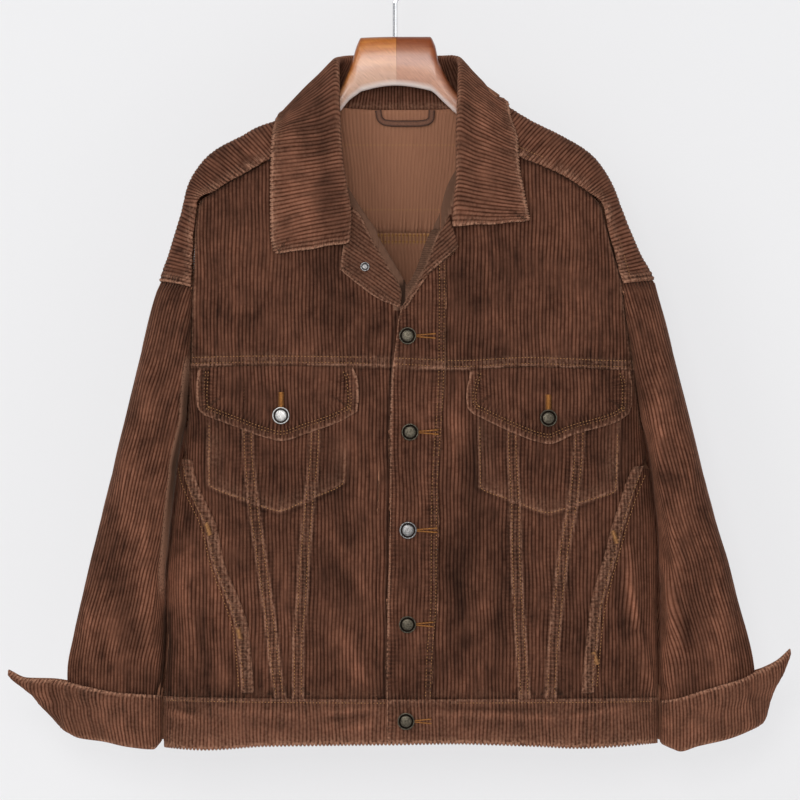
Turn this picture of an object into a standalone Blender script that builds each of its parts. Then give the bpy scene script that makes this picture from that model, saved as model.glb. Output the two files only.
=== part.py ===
"""Corduroy trucker jacket hanging on a wooden hanger, in metres, +Z up, its front facing -Y.

The origin is the inside top of the hanger's hook, where a rail or a wall hook carries everything.
Sizes are in millimetres until a mesh is made. "Right" and "left" are the wearer's: right is -X.
The body is a flat tube of level rings, so a point on it is a height and a length along its ring.
Each cloth piece is a wall between seam lines on that tube, and what lies on a piece is lifted off it.
"""
import math
from collections import namedtuple

import bmesh
import bpy
import numpy as np
from mathutils import Vector

MM = 0.001
WALL = 2.0
GAP = 0.3
LAYER = WALL + GAP + 0.5
FRONT = -1
BACK = 1
RIGHT = -1
LEFT = 1

# The body's level rings: their two side extremes, and how deep the front and the back stand.
# From the armhole up, the extremes are those of the yoke's drop shoulders.
Ring = namedtuple("Ring", "z right left front back")
RINGS = (
    Ring(-143, -83, 101, 14, 16),
    Ring(-150, -95, 113, 16, 18),
    Ring(-165, -119, 138, 21, 22),
    Ring(-179, -151, 166, 25, 24),
    Ring(-193, -177, 188, 28, 26),
    Ring(-207, -192, 203, 30, 27),
    Ring(-231, -207, 219, 33, 29),
    Ring(-254, -213, 228, 35, 30),
    Ring(-295, -226, 245, 38, 32),
    Ring(-326, -235, 259, 40, 33),
    Ring(-400, -222, 250, 42, 35),
    Ring(-440, -214, 248, 43, 35),
    Ring(-470, -209.5, 248, 43, 35),
    Ring(-521, -216.5, 256, 43, 36),
    Ring(-588, -224, 262, 42, 36),
    Ring(-624, -228, 263, 42, 36),
    Ring(-687, -227, 263, 40, 35),
    Ring(-745, -232, 263.5, 38, 34),
    Ring(-800, -232, 264, 37, 33),
)
RING_POWER = 5
PANEL_ROWS = 10
SIDE_ROWS = 7
BAND_TOP = -275.0
UNDERARM = -470

# Upright seams, as x at each z.
ARMHOLE = {
    RIGHT: ((-245, -196), (-254, -198), (-280, -201), (-318, -203), (-356, -204), (-405, -205.5),
            (-470, -209.5)),
    LEFT: ((-245, 206), (-273, 213), (-299, 219.8), (-330, 228), (-358, 231), (-408, 239), (-470, 248)),
}
OUTER_DART = {
    RIGHT: ((-400, -147), (-482, -147), (-544, -142), (-601, -134), (-672, -124), (-708, -120),
            (-760, -112)),
    LEFT: ((-400, 184), (-481, 184), (-544, 178), (-601, 168), (-649, 163), (-700, 158), (-760, 155)),
}
INNER_DART = {
    RIGHT: ((-400, -79), (-487, -80), (-551, -86), (-610, -91), (-646, -93), (-690, -97), (-760, -97)),
    LEFT: ((-400, 117), (-481, 117), (-548, 120), (-604, 121), (-675, 125), (-760, 131)),
}
POCKET_MOUTH = {
    RIGHT: ((-485, -211), (-521, -208), (-540, -202), (-574, -187), (-610, -179), (-639, -168), (-678, -156),
            (-760, -149)),
    LEFT: ((-497, 253), (-536, 237), (-567, 227), (-600, 218), (-621, 212), (-662, 203), (-703, 199),
           (-760, 194)),
}
BAND_SEAM = {
    RIGHT: ((-296, -17), (-420, -17), (-800, -19)),
    LEFT: ((-262, 51), (-412, 50), (-543, 43), (-650, 42), (-704, 38), (-800, 35)),
}
BUTTONHOLE_EDGE = ((-275, 45), (-286, 40), (-312, 30), (-345, 11), (-362, 3), (-414, -2), (-445, -4),
                   (-650, -7), (-745, -9), (-800, -7))
BUTTON_EDGE = ((-300, 32), (-800, 32))
NECK_AND_ROLL = {
    RIGHT: ((-178, -77), (-205, -68), (-232, -56), (-252, -43), (-263, -35), (-296, -17), (-420, -17)),
    LEFT: ((-188, 92), (-205, 80), (-230, 69), (-262, 51), (-420, 50)),
}

# Level seams, as z at each x.
YOKE_SEAM = {
    RIGHT: ((-210, -255), (-196, -246), (-164, -226), (-144, -215), (-123, -203), (-77, -178), (-60, -170)),
    LEFT: ((70, -180), (92, -188), (125, -202), (138, -207), (170, -222), (189, -234), (206, -248),
           (215, -255)),
}
CHEST_SEAM = ((-210, -412), (-135, -410.5), (-15, -412), (65, -415), (133, -412), (228, -415), (245, -415))
WAIST_SEAM = ((-240, -742), (0, -744), (270, -743))
HEM = ((-240, -791), (-193, -794), (-125, -790), (-11, -788.5), (52, -787.5), (141, -790), (184, -792),
       (270, -787))
BACK_YOKE_SEAM = ((-210, -281), (0, -276), (230, -283))
BACK_HEM = ((-240, -791), (16, -786), (270, -787))

# The yoke's lines from front to back: heights down the drop shoulder, then places along the front seam
# with the height of the ridge between, then places round the neck.
WING_ROWS = {
    RIGHT: ((-332.6, -326.7, -332.6), (-312, -306, -315), (-284, -277, -297), (-262, -254, -284)),
    LEFT: ((-329.2, -325, -329.2), (-310, -303, -312), (-284, -277, -298), (-264, -254, -286)),
}
CORNER_RIDGE = {RIGHT: -244, LEFT: -243}
SHOULDER_ROWS = {
    RIGHT: ((-182, -222, -182), (-164, -205, -160), (-144, -190, -140), (-123, -177, -118),
            (-100, -164, -98), (-77.5, -153, -80)),
    LEFT: ((192, -220, 196), (170, -197, 173), (147, -183, 150), (125, -172, 130),
           (108, -163, 114), (92, -153.5, 98)),
}
NECK_ROWS = {
    RIGHT: (((-79.5, -167), -149.5, -70), ((-82.5, -156), -147, -60), ((-86, -144.8), None, -50),
            ((-74, -147.5), None, -38), ((-58, -149.5), None, -26), ((-38, -151.5), None, -14),
            ((-18, -152.5), None, -2)),
    LEFT: (((96, -176), -150, 88), ((100, -160), -147, 78), ((104, -144.8), None, 68),
           ((92, -147.5), None, 56), ((76, -149.5), None, 44), ((58, -151.3), None, 32),
           ((38, -152.3), None, 20)),
}
YOKE_STEPS = 12

# The sleeves: the outer and inner sides, as x at each z, and how far the cloth stands either way.
SLEEVE_OUTER = {
    RIGHT: ((-326, -235), (-377, -248), (-412, -256), (-461, -268), (-524, -283.5), (-541, -292),
            (-580, -301), (-641, -313), (-715, -329), (-770, -330), (-800, -330)),
    LEFT: ((-324, 259), (-368, 271), (-417, 283), (-462, 295), (-524, 309), (-608, 334), (-715, 361),
           (-770, 364), (-800, 364)),
}
SLEEVE_INNER = {
    RIGHT: ((-470, -210.5), (-488, -214.5), (-521, -220), (-588, -227.5), (-624, -231), (-687, -232),
            (-720, -234), (-745, -239), (-800, -240)),
    LEFT: ((-470, 249), (-488, 254), (-521, 259.5), (-588, 265.5), (-687, 266.5), (-720, 267.6),
           (-745, 269.2), (-800, 269.2)),
}
SLEEVE_FULLNESS = ((-326, 0), (-360, 8), (-410, 20), (-470, 33), (-540, 34), (-640, 29), (-700, 19),
                   (-735, 14.6), (-800, 14.6))
DROP_SEAM_SLOPE = 6
# The sleeves' ends, as z at each share of the width from the outer fold.
SLEEVE_END = {
    RIGHT: ((0, -771), (0.5, -784), (0.9, -791), (1, -786)),
    LEFT: ((0, -771), (0.6, -790), (0.85, -794), (1, -786)),
}
SLEEVE_TOP = {RIGHT: -327.3, LEFT: -325.3}
ARMHOLE_ROWS = 5
SLEEVE_ROWS = 10
ARMHOLE_SHARE = 0.29
SLEEVE_TURNS = 16

# The turned-back cuffs, seen from the front: the fold, the free edge, the loose corner and the inner side.
CUFF = {
    RIGHT: {
        "fold": ((-334, -773), (-319, -781), (-293, -785), (-268, -790), (-242, -793), (-234.5, -787)),
        "free": ((-386, -717), (-370, -724), (-344, -725), (-306, -733), (-280, -738), (-255, -740),
                 (-234.5, -741.5)),
        "corner": ((-334, -773), (-347, -759), (-362, -741), (-376, -731), (-386, -717)),
    },
    LEFT: {
        "fold": ((367, -771), (333, -783), (303, -791), (286, -796), (278, -792.5), (266.5, -787)),
        "free": ((395, -695), (384, -704), (362, -715), (349, -724), (333, -729), (303, -738), (284, -744),
                 (266.5, -747)),
        "corner": ((367, -771), (372, -764), (376, -750), (380, -735), (388, -724), (395, -695)),
    },
}
CUFF_FULLNESS = 18.4
CUFF_CORNER_FULLNESS = 5
CUFF_WALL = 1.6
CUFF_COLUMNS = 24
CUFF_ROWS = 5

# Collar sections from the wearer's right point round the neck to the left one: the edge sewn to the
# neck, the roll, and the outer edge of the fall.
Section = namedtuple("Section", "neck roll edge")
COLLAR = (
    Section((-51, -40, -286), (-46, -47, -288), (-119, -42, -301)),
    Section((-52, -39, -262), (-44, -47, -262), (-123, -41, -280)),
    Section((-58, -34, -234), (-48, -47, -234), (-123.5, -40, -247)),
    Section((-68, -31, -207), (-53, -46, -202), (-123, -37, -213)),
    Section((-75, -25, -184), (-55.5, -41, -168), (-122, -30, -180)),
    Section((-82, -14, -158), (-57, -27, -130), (-120, -16, -167)),
    Section((-85, 1, -139), (-57, -3, -104), (-116, 4, -160)),
    Section((-72, 16, -144), (-52, 20, -100), (-106, 26, -169)),
    Section((-48, 18, -149), (-38, 28, -98), (-76, 35, -179)),
    Section((-18, 18.5, -151), (-15, 32, -98), (-30, 38, -184)),
    Section((10, 18.5, -151.5), (10, 33, -98), (10, 38, -185)),
    Section((40, 18.5, -151), (36, 32, -98), (50, 38, -184)),
    Section((66, 18, -149), (54, 27, -98), (90, 34, -177)),
    Section((89, 16, -144), (63, 18, -101), (110, 24, -164)),
    Section((103, 1, -139), (64, -3, -107), (117, 4, -156)),
    Section((100, -14, -152), (64, -25, -128), (121, -15, -167)),
    Section((92, -25, -177), (63, -39, -152), (122, -29, -183)),
    Section((83, -32, -203), (62, -46, -186), (123, -37, -207)),
    Section((74, -36, -228), (62, -47, -217), (127, -40, -231)),
    Section((65, -38, -250), (60, -47, -243), (131, -41, -252)),
    Section((62, -40, -270), (58, -46, -272), (134, -42, -267)),
)
COLLAR_OVER_LAPEL = 0.14
SHOULDER_RIDGE = 12
NECK_CLEARANCE = 0.4
COLLAR_FOLD = 3.2
COLLAR_COLUMNS = 30

# Pieces that lie on the front, each as four sides, bottom and top from right to left, sides upwards.
LAPEL = {
    RIGHT: {
        "low": ((-55, -315), (-35, -332), (-15, -345), (5, -353)),
        "high": ((-52, -292), (-43, -253)),
        "right": ((-55, -315), (-52, -292)),
        "left": ((5, -353), (7, -338), (-5, -315), (-17, -295), (-35, -263), (-43, -253)),
    },
    LEFT: {
        "low": ((6, -352), (10, -354)),
        "high": ((53, -260), (57, -272), (64, -295)),
        "right": ((6, -352), (11, -345), (30, -312), (40, -286), (53, -260)),
        "left": ((10, -354), (15, -347), (25, -332), (39, -313), (64, -295)),
    },
}
FLAP = {
    RIGHT: {
        "low": ((-190, -460), (-164, -470), (-132, -482), (-114, -486), (-87, -478), (-56, -467),
                (-38, -457)),
        "high": ((-195, -412.5), (-135, -411), (-43, -412.5)),
        "right": ((-190, -460), (-196, -452), (-196.5, -439), (-195, -412.5)),
        "left": ((-38, -457), (-37, -445), (-39, -423), (-43, -412.5)),
    },
    LEFT: {
        "low": ((78, -459), (118, -478), (146, -488), (153, -489), (177, -480), (221, -467), (233, -459)),
        "high": ((76.5, -415.5), (133, -412.5), (233, -415.5)),
        "right": ((78, -459), (72, -452), (71, -441), (76.5, -415.5)),
        "left": ((233, -459), (236, -448), (236, -434), (233, -415.5)),
    },
}
WELT_WIDTH = 13
WELT_OVER_SEAM = 3
WELT_ENDS = {RIGHT: (-738, -505), LEFT: (-738, -512)}

# The hanger's wooden body, as sections along x.
Wood = namedtuple("Wood", "x top bottom depth")
WOOD = (
    Wood(-187, -210, -220, 4),
    Wood(-183, -205, -224, 8),
    Wood(-150, -184.5, -213, 11),
    Wood(-119, -176, -204, 12),
    Wood(-90, -163, -190, 11),
    Wood(-72, -150, -171, 11),
    Wood(-56, -134, -156, 11.5),
    Wood(-45, -111, -143, 12),
    Wood(-38, -88, -138, 13),
    Wood(-33, -81, -135, 13),
    Wood(0, -80, -129, 13),
    Wood(33, -80, -134, 13),
    Wood(38, -87, -137, 13),
    Wood(44, -105, -141, 12.5),
    Wood(62, -136, -158, 11.5),
    Wood(82, -152, -175, 11),
    Wood(104, -166, -192, 11),
    Wood(135, -178, -207, 12),
    Wood(170, -186.5, -217, 11),
    Wood(195, -205, -230, 8),
    Wood(200, -212, -225, 4),
)
WOOD_SIDES = 12
WOOD_SQUARENESS = 0.7
NECK_TOP = -80
WIRE = 4.6
HOOK_RADIUS = 21
SHANK_DEPTH = 25
SHANK_TOP = -46

# Jeans buttons: diameter, places, and the bare rivet back on the turned-out right lapel.
BUTTON = 17.0
BUTTON_STEPS = 16
FRONT_BUTTONS = ((12.6, -381), (15, -477), (13, -575), (12.5, -669), (11, -766))
FLAP_BUTTONS = {RIGHT: (-113.6, -460.5), LEFT: (153, -463)}
RIVET = 9.0
RIVET_PLACE = (-30, -312)

# The hanging loop inside the back neck.
LOOP = ((-17, -153), (-15.5, -161), (-10, -165.5), (2, -166.5), (20, -166.5), (31, -165.5), (36.5, -161),
        (37, -153))
LOOP_WIDTH = 6.5
LOOP_WALL = 1.6
LOOP_STEPS = 22


def eased(rows, at):
    """The value at `at` of a smooth curve through (key, value) rows, with no overshoot."""
    keys, values = np.array(sorted(rows), float).T
    width = np.diff(keys)
    rise = np.diff(values) / width
    slope = np.concatenate([rise[:1], np.zeros(len(rise) - 1), rise[-1:]])
    both = rise[:-1] * rise[1:]
    same = both > 0
    slope[1:-1][same] = 2 * both[same] / (rise[:-1] + rise[1:])[same]
    at = np.clip(at, keys[0], keys[-1])
    i = np.clip(np.searchsorted(keys, at) - 1, 0, len(width) - 1)
    t = (at - keys[i]) / width[i]
    return (
        values[i] * (1 + 2 * t) * (1 - t) ** 2
        + slope[i] * width[i] * t * (1 - t) ** 2
        + values[i + 1] * t * t * (3 - 2 * t)
        + slope[i + 1] * width[i] * t * t * (t - 1)
    )


def along(points, t):
    """The point at share t of the length of a smooth curve through points of any dimension."""
    points = np.array(points, float)
    steps = np.linalg.norm(np.diff(points, axis=0), axis=1)
    keys = np.concatenate([[0], np.cumsum(steps)]) / steps.sum()
    return np.array([eased(list(zip(keys, column)), t) for column in points.T])


def ring(z, side):
    """Centre, half width and depth of the body's front or back at height z."""
    right = eased([(r.z, r.right) for r in RINGS], z)
    left = eased([(r.z, r.left) for r in RINGS], z)
    depth = eased([(r.z, r.front if side == FRONT else r.back) for r in RINGS], z)
    return (right + left) / 2, (left - right) / 2, depth


def ring_line(z, side):
    """x, y and running length of the body's front or back at height z, with length 0 at x = 0."""
    centre, half, depth = ring(z, side)
    turn = np.linspace(-math.pi / 2, math.pi / 2, 161)
    x = centre + half * np.sign(np.sin(turn)) * np.abs(np.sin(turn)) ** (2 / RING_POWER)
    y = side * depth * np.cos(turn)
    run = np.concatenate([[0], np.cumsum(np.hypot(np.diff(x), np.diff(y)))])
    return x, y, run - np.interp(0, x, run)


def body_depth(x, z, side):
    centre, half, depth = ring(z, side)
    return depth * math.sqrt(max(0.0, 1 - abs((x - centre) / half) ** RING_POWER))


def body_level(x, y, z):
    centre, half, depth = ring(z, FRONT if y < 0 else BACK)
    return abs((x - centre) / half) ** RING_POWER + (y / depth) ** 2


def body_normal(point):
    """The outward direction of the body's rings at a point on them."""
    step = 0.05
    x, y, z = point
    slope = Vector((
        body_level(x + step, y, z) - body_level(x - step, y, z),
        body_level(x, y + step, z) - body_level(x, y - step, z),
        body_level(x, y, z + step) - body_level(x, y, z - step),
    ))
    return slope.normalized()


def clear_of_body(point, distance):
    """The point, moved straight out where it is nearer to the body than a distance."""
    for _ in range(6):
        step = 0.05
        x, y, z = point
        if z > RINGS[0].z:
            break
        slope = Vector((
            body_level(x + step, y, z) - body_level(x - step, y, z),
            body_level(x, y + step, z) - body_level(x, y - step, z),
            body_level(x, y, z + step) - body_level(x, y, z - step),
        )) / (2 * step)
        away = (body_level(x, y, z) - 1) / slope.length
        if away >= distance:
            break
        point = point + slope.normalized() * (distance - away)
    return point


def on_body(run, z, side):
    x, y, runs = ring_line(z, side)
    return Vector((np.interp(run, runs, x), np.interp(run, runs, y), z))


def run_at(x, z, side):
    xs, _, runs = ring_line(z, side)
    return float(np.interp(x, xs, runs))


def coons(low, high, right, left, u, v):
    """A point of the patch between four sides, each a function of 0 to 1."""
    flat = (1 - v) * low(u) + v * high(u) + (1 - u) * right(v) + u * left(v)
    corners = (1 - u) * (1 - v) * low(0) + u * (1 - v) * low(1) + (1 - u) * v * high(0) + u * v * high(1)
    return flat - corners


def wall_mesh(outer, inner, joined_from=None):
    """A closed cloth wall between two equal grids of points.

    From row joined_from on, the first and last columns are one, which makes a tube of those rows.
    """
    rows, columns = len(outer), len(outer[0])
    joined_from = rows if joined_from is None else joined_from
    mesh = bmesh.new()
    grids = []
    for points in (outer, inner):
        grids.append([[mesh.verts.new(Vector(p) * MM) for p in row] for row in points])
        for row in grids[-1][joined_from:]:
            mesh.verts.remove(row[-1])
            row[-1] = row[0]
    out, back = grids
    for i in range(rows - 1):
        for j in range(columns - 1):
            mesh.faces.new((out[i][j], out[i][j + 1], out[i + 1][j + 1], out[i + 1][j]))
            mesh.faces.new((back[i][j], back[i + 1][j], back[i + 1][j + 1], back[i][j + 1]))
    for j in range(columns - 1):
        mesh.faces.new((out[0][j + 1], out[0][j], back[0][j], back[0][j + 1]))
        mesh.faces.new((out[-1][j], out[-1][j + 1], back[-1][j + 1], back[-1][j]))
    for i in range(min(joined_from, rows - 1)):
        mesh.faces.new((out[i][0], out[i + 1][0], back[i + 1][0], back[i][0]))
        mesh.faces.new((out[i + 1][-1], out[i][-1], back[i][-1], back[i + 1][-1]))
    return mesh


def finish(mesh, name, finish_name, smooth=True):
    """Turns a bmesh into a named object of the jacket, with its faces pointing out."""
    bmesh.ops.remove_doubles(mesh, verts=mesh.verts, dist=0.02 * MM)
    bmesh.ops.recalc_face_normals(mesh, faces=mesh.faces)
    data = bpy.data.meshes.new(name)
    mesh.to_mesh(data)
    mesh.free()
    if smooth:
        data.shade_smooth()
        data.set_sharp_from_angle(angle=math.radians(40))
    thing = bpy.data.objects.new(name, data)
    JACKET.objects.link(thing)
    thing.data.materials.append(FINISHES[finish_name])
    return thing


def crowded(share, towards):
    """A share of a piece's width, drawn towards its side where the body rounds away."""
    if towards == RIGHT:
        return share ** 1.5
    if towards == LEFT:
        return 1 - (1 - share) ** 1.5
    if towards == 0:
        return (share + (1 - math.cos(math.pi * share)) / 2) / 2
    return share


def cloth_patch(name, point_at, across, up, side=FRONT, lift=0.0, towards=None):
    """A wall of cloth on the body: point_at(u, v) gives a length along the ring and a height."""
    outer, inner = [], []
    for i in range(up + 1):
        outer.append([])
        inner.append([])
        for j in range(across + 1):
            run, z = point_at(crowded(j / across, towards), i / up)
            on = on_body(run, z, side)
            out = body_normal(on)
            raised = lift(run, z) if callable(lift) else lift
            outer[-1].append(on + out * raised)
            inner[-1].append(on + out * (raised - WALL))
    return finish(wall_mesh(outer, inner), name, "corduroy")


def corner(upright, level, z):
    """Where an upright seam, x at z, crosses a level one, z at x."""
    for _ in range(12):
        x = upright(z)
        z = level(x)
    return z


def panel(name, right, left, low, high, across, up, side=FRONT, lift=0.0, towards=None):
    """A panel between two upright and two level seams, half a seam gap inside each of them."""
    ends = {
        "right": (corner(right, low, -600), corner(right, high, -300)),
        "left": (corner(left, low, -600), corner(left, high, -300)),
    }
    half = GAP / 2

    def upright(seam, which, inward):
        bottom, top = ends[which]

        def at(v):
            z = bottom + half + (top - bottom - GAP) * v
            return np.array([run_at(seam(z), z, side) + inward * half, z])

        return at

    on_right, on_left = upright(right, "right", 1), upright(left, "left", -1)

    def level(seam, v):
        first, last = on_right(v)[0], on_left(v)[0]
        inward = half if v == 0 else -half

        def at(u):
            run = first + (last - first) * u
            z_guess = on_right(v)[1] * (1 - u) + on_left(v)[1] * u
            x = on_body(run, z_guess, side).x
            return np.array([run, seam(x) + inward])

        return at

    on_low, on_high = level(low, 0), level(high, 1)
    patch = lambda u, v: coons(on_low, on_high, on_right, on_left, u, v)
    return cloth_patch(name, patch, across, up, side, lift, towards)


def overlay(name, sides, across, up, lift, towards=None):
    """A piece lying on the front, between four sides given as points seen from the front."""
    lines = {key: (lambda t, points=points: along(points, t)) for key, points in sides.items()}

    def patch(u, v):
        x, z = coons(lines["low"], lines["high"], lines["right"], lines["left"], u, v)
        return run_at(x, z, FRONT), z

    return cloth_patch(name, patch, across, up, FRONT, lift, towards)


def seam(rows):
    return lambda at: float(eased(rows, at))


def body_side(which):
    """The outer edge of the front and back panels: the armhole, and the side seam below it."""

    def at(z):
        if z > UNDERARM:
            return float(eased(ARMHOLE[which], z))
        centre, half, _ = ring(z, FRONT)
        return centre + which * half

    return at


def make_yoke():
    """The back yoke, cut in one with both drop shoulders, wrapping over the shoulders to the front."""
    half = GAP
    lines = []
    for which in (RIGHT, LEFT):
        side, front_seam, back_seam = body_side(which), seam(YOKE_SEAM[which]), seam(BACK_YOKE_SEAM)
        rows = []
        for front_z, ridge_z, back_z in WING_ROWS[which]:
            start = (side(front_z) + which * 2 * half, front_z)
            rows.append((start, ridge_z, (side(back_z) + which * 2 * half, back_z)))
        front_z, back_z = corner(side, front_seam, -250), corner(side, back_seam, -280)
        start = (side(front_z) + which * half, front_z + half)
        rows.append((start, CORNER_RIDGE[which], (side(back_z) + which * half, back_z + half)))
        for front_x, ridge_z, back_x in SHOULDER_ROWS[which]:
            rows.append(((front_x, front_seam(front_x) + half), ridge_z, (back_x, back_seam(back_x) + half)))
        for start, ridge_z, back_x in NECK_ROWS[which]:
            rows.append((start, ridge_z, (back_x, back_seam(back_x) + half)))
        drawn = [yoke_line(which, *row) for row in rows]
        lines += drawn if which == RIGHT else drawn[::-1]
    inner = [[p - body_normal(p) * WALL for p in line] for line in lines]
    finish(wall_mesh(lines, inner), "back_yoke", "corduroy")


def yoke_line(which, start, ridge_z, end):
    """One line of the yoke: up the front to the shoulder's ridge, if it has a front, and down the back."""
    sweep = np.linspace(0, math.pi / 2, 60)
    line = []
    first = np.array(start, float)
    if ridge_z is not None:
        centre, half, _ = ring(ridge_z, FRONT)
        ridge = np.array([centre + which * half, ridge_z])
        for x, z in (first + (ridge - first) * t for t in np.sin(sweep)):
            line.append((x, -body_depth(x, z, FRONT), z))
        first = ridge
    for x, z in (first + (np.array(end) - first) * t for t in 1 - np.cos(sweep)):
        line.append((x, body_depth(x, z, BACK), z))
    line = np.array(line)
    run = np.concatenate([[0], np.cumsum(np.linalg.norm(np.diff(line, axis=0), axis=1))])
    return [Vector([np.interp(s, run, c) for c in line.T]) for s in np.linspace(0, run[-1], YOKE_STEPS + 1)]


def sleeve_shape(which):
    """A function of turn (0 at the outer fold, pi at the body) and height that gives a sleeve's point."""
    edge = body_side(which)

    def at(turn, z):
        w = (1 - math.cos(turn)) / 2
        side = FRONT if turn > 0 else BACK
        outer = eased(SLEEVE_OUTER[which], z)
        if z > UNDERARM:
            inner = edge(z) + which * GAP
            hold = body_depth(edge(z), z, side)
        else:
            inner = eased(SLEEVE_INNER[which], z)
            hold = 0.0
        x = outer + (inner - outer) * w
        open_part = math.sqrt(max(0.0, 1 - (1 - w) ** 1.25))
        closed_part = math.sqrt(max(0.0, 1 - abs(math.cos(turn)) ** 2.8))
        return Vector((x, side * (hold * open_part + eased(SLEEVE_FULLNESS, z) * closed_part), z))

    return at


def outward(shape, turn, z):
    """The outward direction of a tube given as shape(turn, z)."""
    step = 0.02
    round_it = shape(turn + step, z) - shape(turn - step, z)
    down = shape(turn, z - 1.0) - shape(turn, z + 1.0)
    return round_it.cross(down).normalized()


def make_sleeve(which, name):
    shape = sleeve_shape(which)
    turns = [-math.pi + 2 * math.pi * k / SLEEVE_TURNS for k in range(SLEEVE_TURNS + 1)]
    turns[0] = -math.pi + 1e-6
    turns[-1] = math.pi - 1e-6
    split = ARMHOLE_SHARE
    shares = [split * k / ARMHOLE_ROWS for k in range(ARMHOLE_ROWS)]
    shares += [split + (1 - split) * k / SLEEVE_ROWS for k in range(SLEEVE_ROWS + 1)]
    outer, inner = [], []
    for share in shares:
        outer.append([])
        inner.append([])
        for turn in turns:
            w = (1 - math.cos(turn)) / 2
            start = SLEEVE_TOP[which] - DROP_SEAM_SLOPE * w
            end = float(eased(SLEEVE_END[which], w))
            middle = UNDERARM - 0.2
            if share <= split:
                z = start + (middle - start) * share / split
            else:
                z = middle + (end - middle) * (share - split) / (1 - split)
            point = shape(turn, z)
            inward_turn = min(max(turn, -math.pi + 0.03), math.pi - 0.03)
            out = outward(shape, inward_turn, z)
            if out.dot(point - Vector(((shape(0, z).x + shape(math.pi, z).x) / 2, 0, z))) < 0:
                out = -out
            outer[-1].append(point)
            inner[-1].append(point - out * WALL)
    return finish(wall_mesh(outer, inner, joined_from=ARMHOLE_ROWS), name, "corduroy")


def make_cuff(which, name):
    """A band turned back over the sleeve's end, open at the loose corner of its front side."""
    lines = CUFF[which]
    inner_side = (lines["fold"][-1], lines["free"][-1])
    sides = {"low": lines["fold"], "high": lines["free"], "right": lines["corner"], "left": inner_side}
    places = {key: (lambda t, points=points: along(points, t)) for key, points in sides.items()}

    def shape(turn, v):
        w = (1 - math.cos(turn)) / 2
        x, z = coons(places["low"], places["high"], places["right"], places["left"], w, v)
        side = FRONT if turn > 0 else BACK
        beyond = max(0.0, which * (x - eased(SLEEVE_OUTER[which], z)))
        spread = abs(eased(SLEEVE_OUTER[which], z) - places["high"](0)[0])
        share = min(1.0, beyond / spread)
        full = CUFF_FULLNESS + (CUFF_CORNER_FULLNESS - CUFF_FULLNESS) * share ** 0.6
        return Vector((x, side * full * math.sqrt(max(0.0, 1 - abs(math.cos(turn)) ** 4)), z))

    outer, inner = [], []
    for i in range(CUFF_ROWS + 1):
        v = i / CUFF_ROWS
        outer.append([])
        inner.append([])
        for k in range(CUFF_COLUMNS + 1):
            turn = -math.pi + 2 * math.pi * (k + 0.5) / CUFF_COLUMNS
            point = shape(turn, v)
            round_it = shape(turn + 0.02, v) - shape(turn - 0.02, v)
            rise = shape(turn, min(1, v + 0.02)) - shape(turn, max(0, v - 0.02))
            out = round_it.cross(rise).normalized()
            if out.y * point.y < 0:
                out = -out
            outer[-1].append(point)
            inner[-1].append(point - out * CUFF_WALL)
    return finish(wall_mesh(outer, inner, joined_from=0), name, "corduroy")


def make_collar():
    """The collar: a stand sewn to the neck, rolled over into a fall that lies on the shoulders."""
    outer = []
    for i in range(COLLAR_COLUMNS + 1):
        t = i / COLLAR_COLUMNS
        keys = np.linspace(0, 1, len(COLLAR))
        neck, roll, edge = (
            Vector([eased(list(zip(keys, [getattr(s, part)[k] for s in COLLAR])), t) for k in range(3)])
            for part in Section._fields
        )
        fall = (edge - roll).normalized()
        stand = (neck - roll).normalized()
        line = [
            neck,
            neck.lerp(roll, 0.5),
            roll + stand * COLLAR_FOLD,
            roll,
            roll + fall * COLLAR_FOLD,
            roll.lerp(edge, 0.3),
            roll.lerp(edge, 0.53),
            roll.lerp(edge, 0.77),
            edge,
        ]
        over_lapel = min(t, 1 - t) < COLLAR_OVER_LAPEL
        laid = [clear_of_body(line[0], NECK_CLEARANCE + (LAYER if over_lapel else 0))] + line[1:5]
        for point in line[5:]:
            on_ridge = abs(point.y) < SHOULDER_RIDGE
            laid.append(clear_of_body(point, LAYER * (2 if over_lapel else 1.4 if on_ridge else 1)))
        outer.append(laid)
    grid_out = np.array([[tuple(p) for p in row] for row in outer])
    normals = np.cross(np.gradient(grid_out, axis=0), np.gradient(grid_out, axis=1))
    normals /= np.linalg.norm(normals, axis=2)[:, :, None]
    back_of_fall = normals[COLLAR_COLUMNS // 2][-2]
    if back_of_fall[1] < 0:
        normals = -normals
    grid_in = grid_out - normals * WALL
    return finish(wall_mesh(grid_out.tolist(), grid_in.tolist()), "collar", "corduroy")


def make_loop():
    """A flat band sewn inside the back neck, to hang the jacket by."""
    outer, inner = [], []
    for i in range(LOOP_STEPS + 1):
        t = i / LOOP_STEPS
        x, z = along(LOOP, t)
        ahead = along(LOOP, min(1, t + 0.01)) - along(LOOP, max(0, t - 0.01))
        ahead /= np.linalg.norm(ahead)
        aside = np.array([-ahead[1], ahead[0]])
        row_out, row_in = [], []
        for share in (-0.5, 0.5):
            px, pz = np.array([x, z]) + aside * share * LOOP_WIDTH
            y = body_depth(px, pz, BACK) - WALL - 1.5 * GAP - LOOP_WALL
            row_out.append((px, y, pz))
            row_in.append((px, y + LOOP_WALL, pz))
        outer.append(row_out)
        inner.append(row_in)
    return finish(wall_mesh(outer, inner), "hanging_loop", "corduroy", smooth=False)


def make_welt(which, name):
    """The mouth of a slanting side pocket: a narrow welt lying on the front beside its seam."""
    bottom, top = WELT_ENDS[which]
    mouth = seam(POCKET_MOUTH[which])

    def patch(u, v):
        z = bottom + (top - bottom) * v
        run = run_at(mouth(z), z, FRONT)
        near = -WELT_OVER_SEAM if which == RIGHT else WELT_OVER_SEAM - WELT_WIDTH
        return run + near + WELT_WIDTH * u, z

    return cloth_patch(name, patch, 2, 12, FRONT, LAYER)


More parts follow.
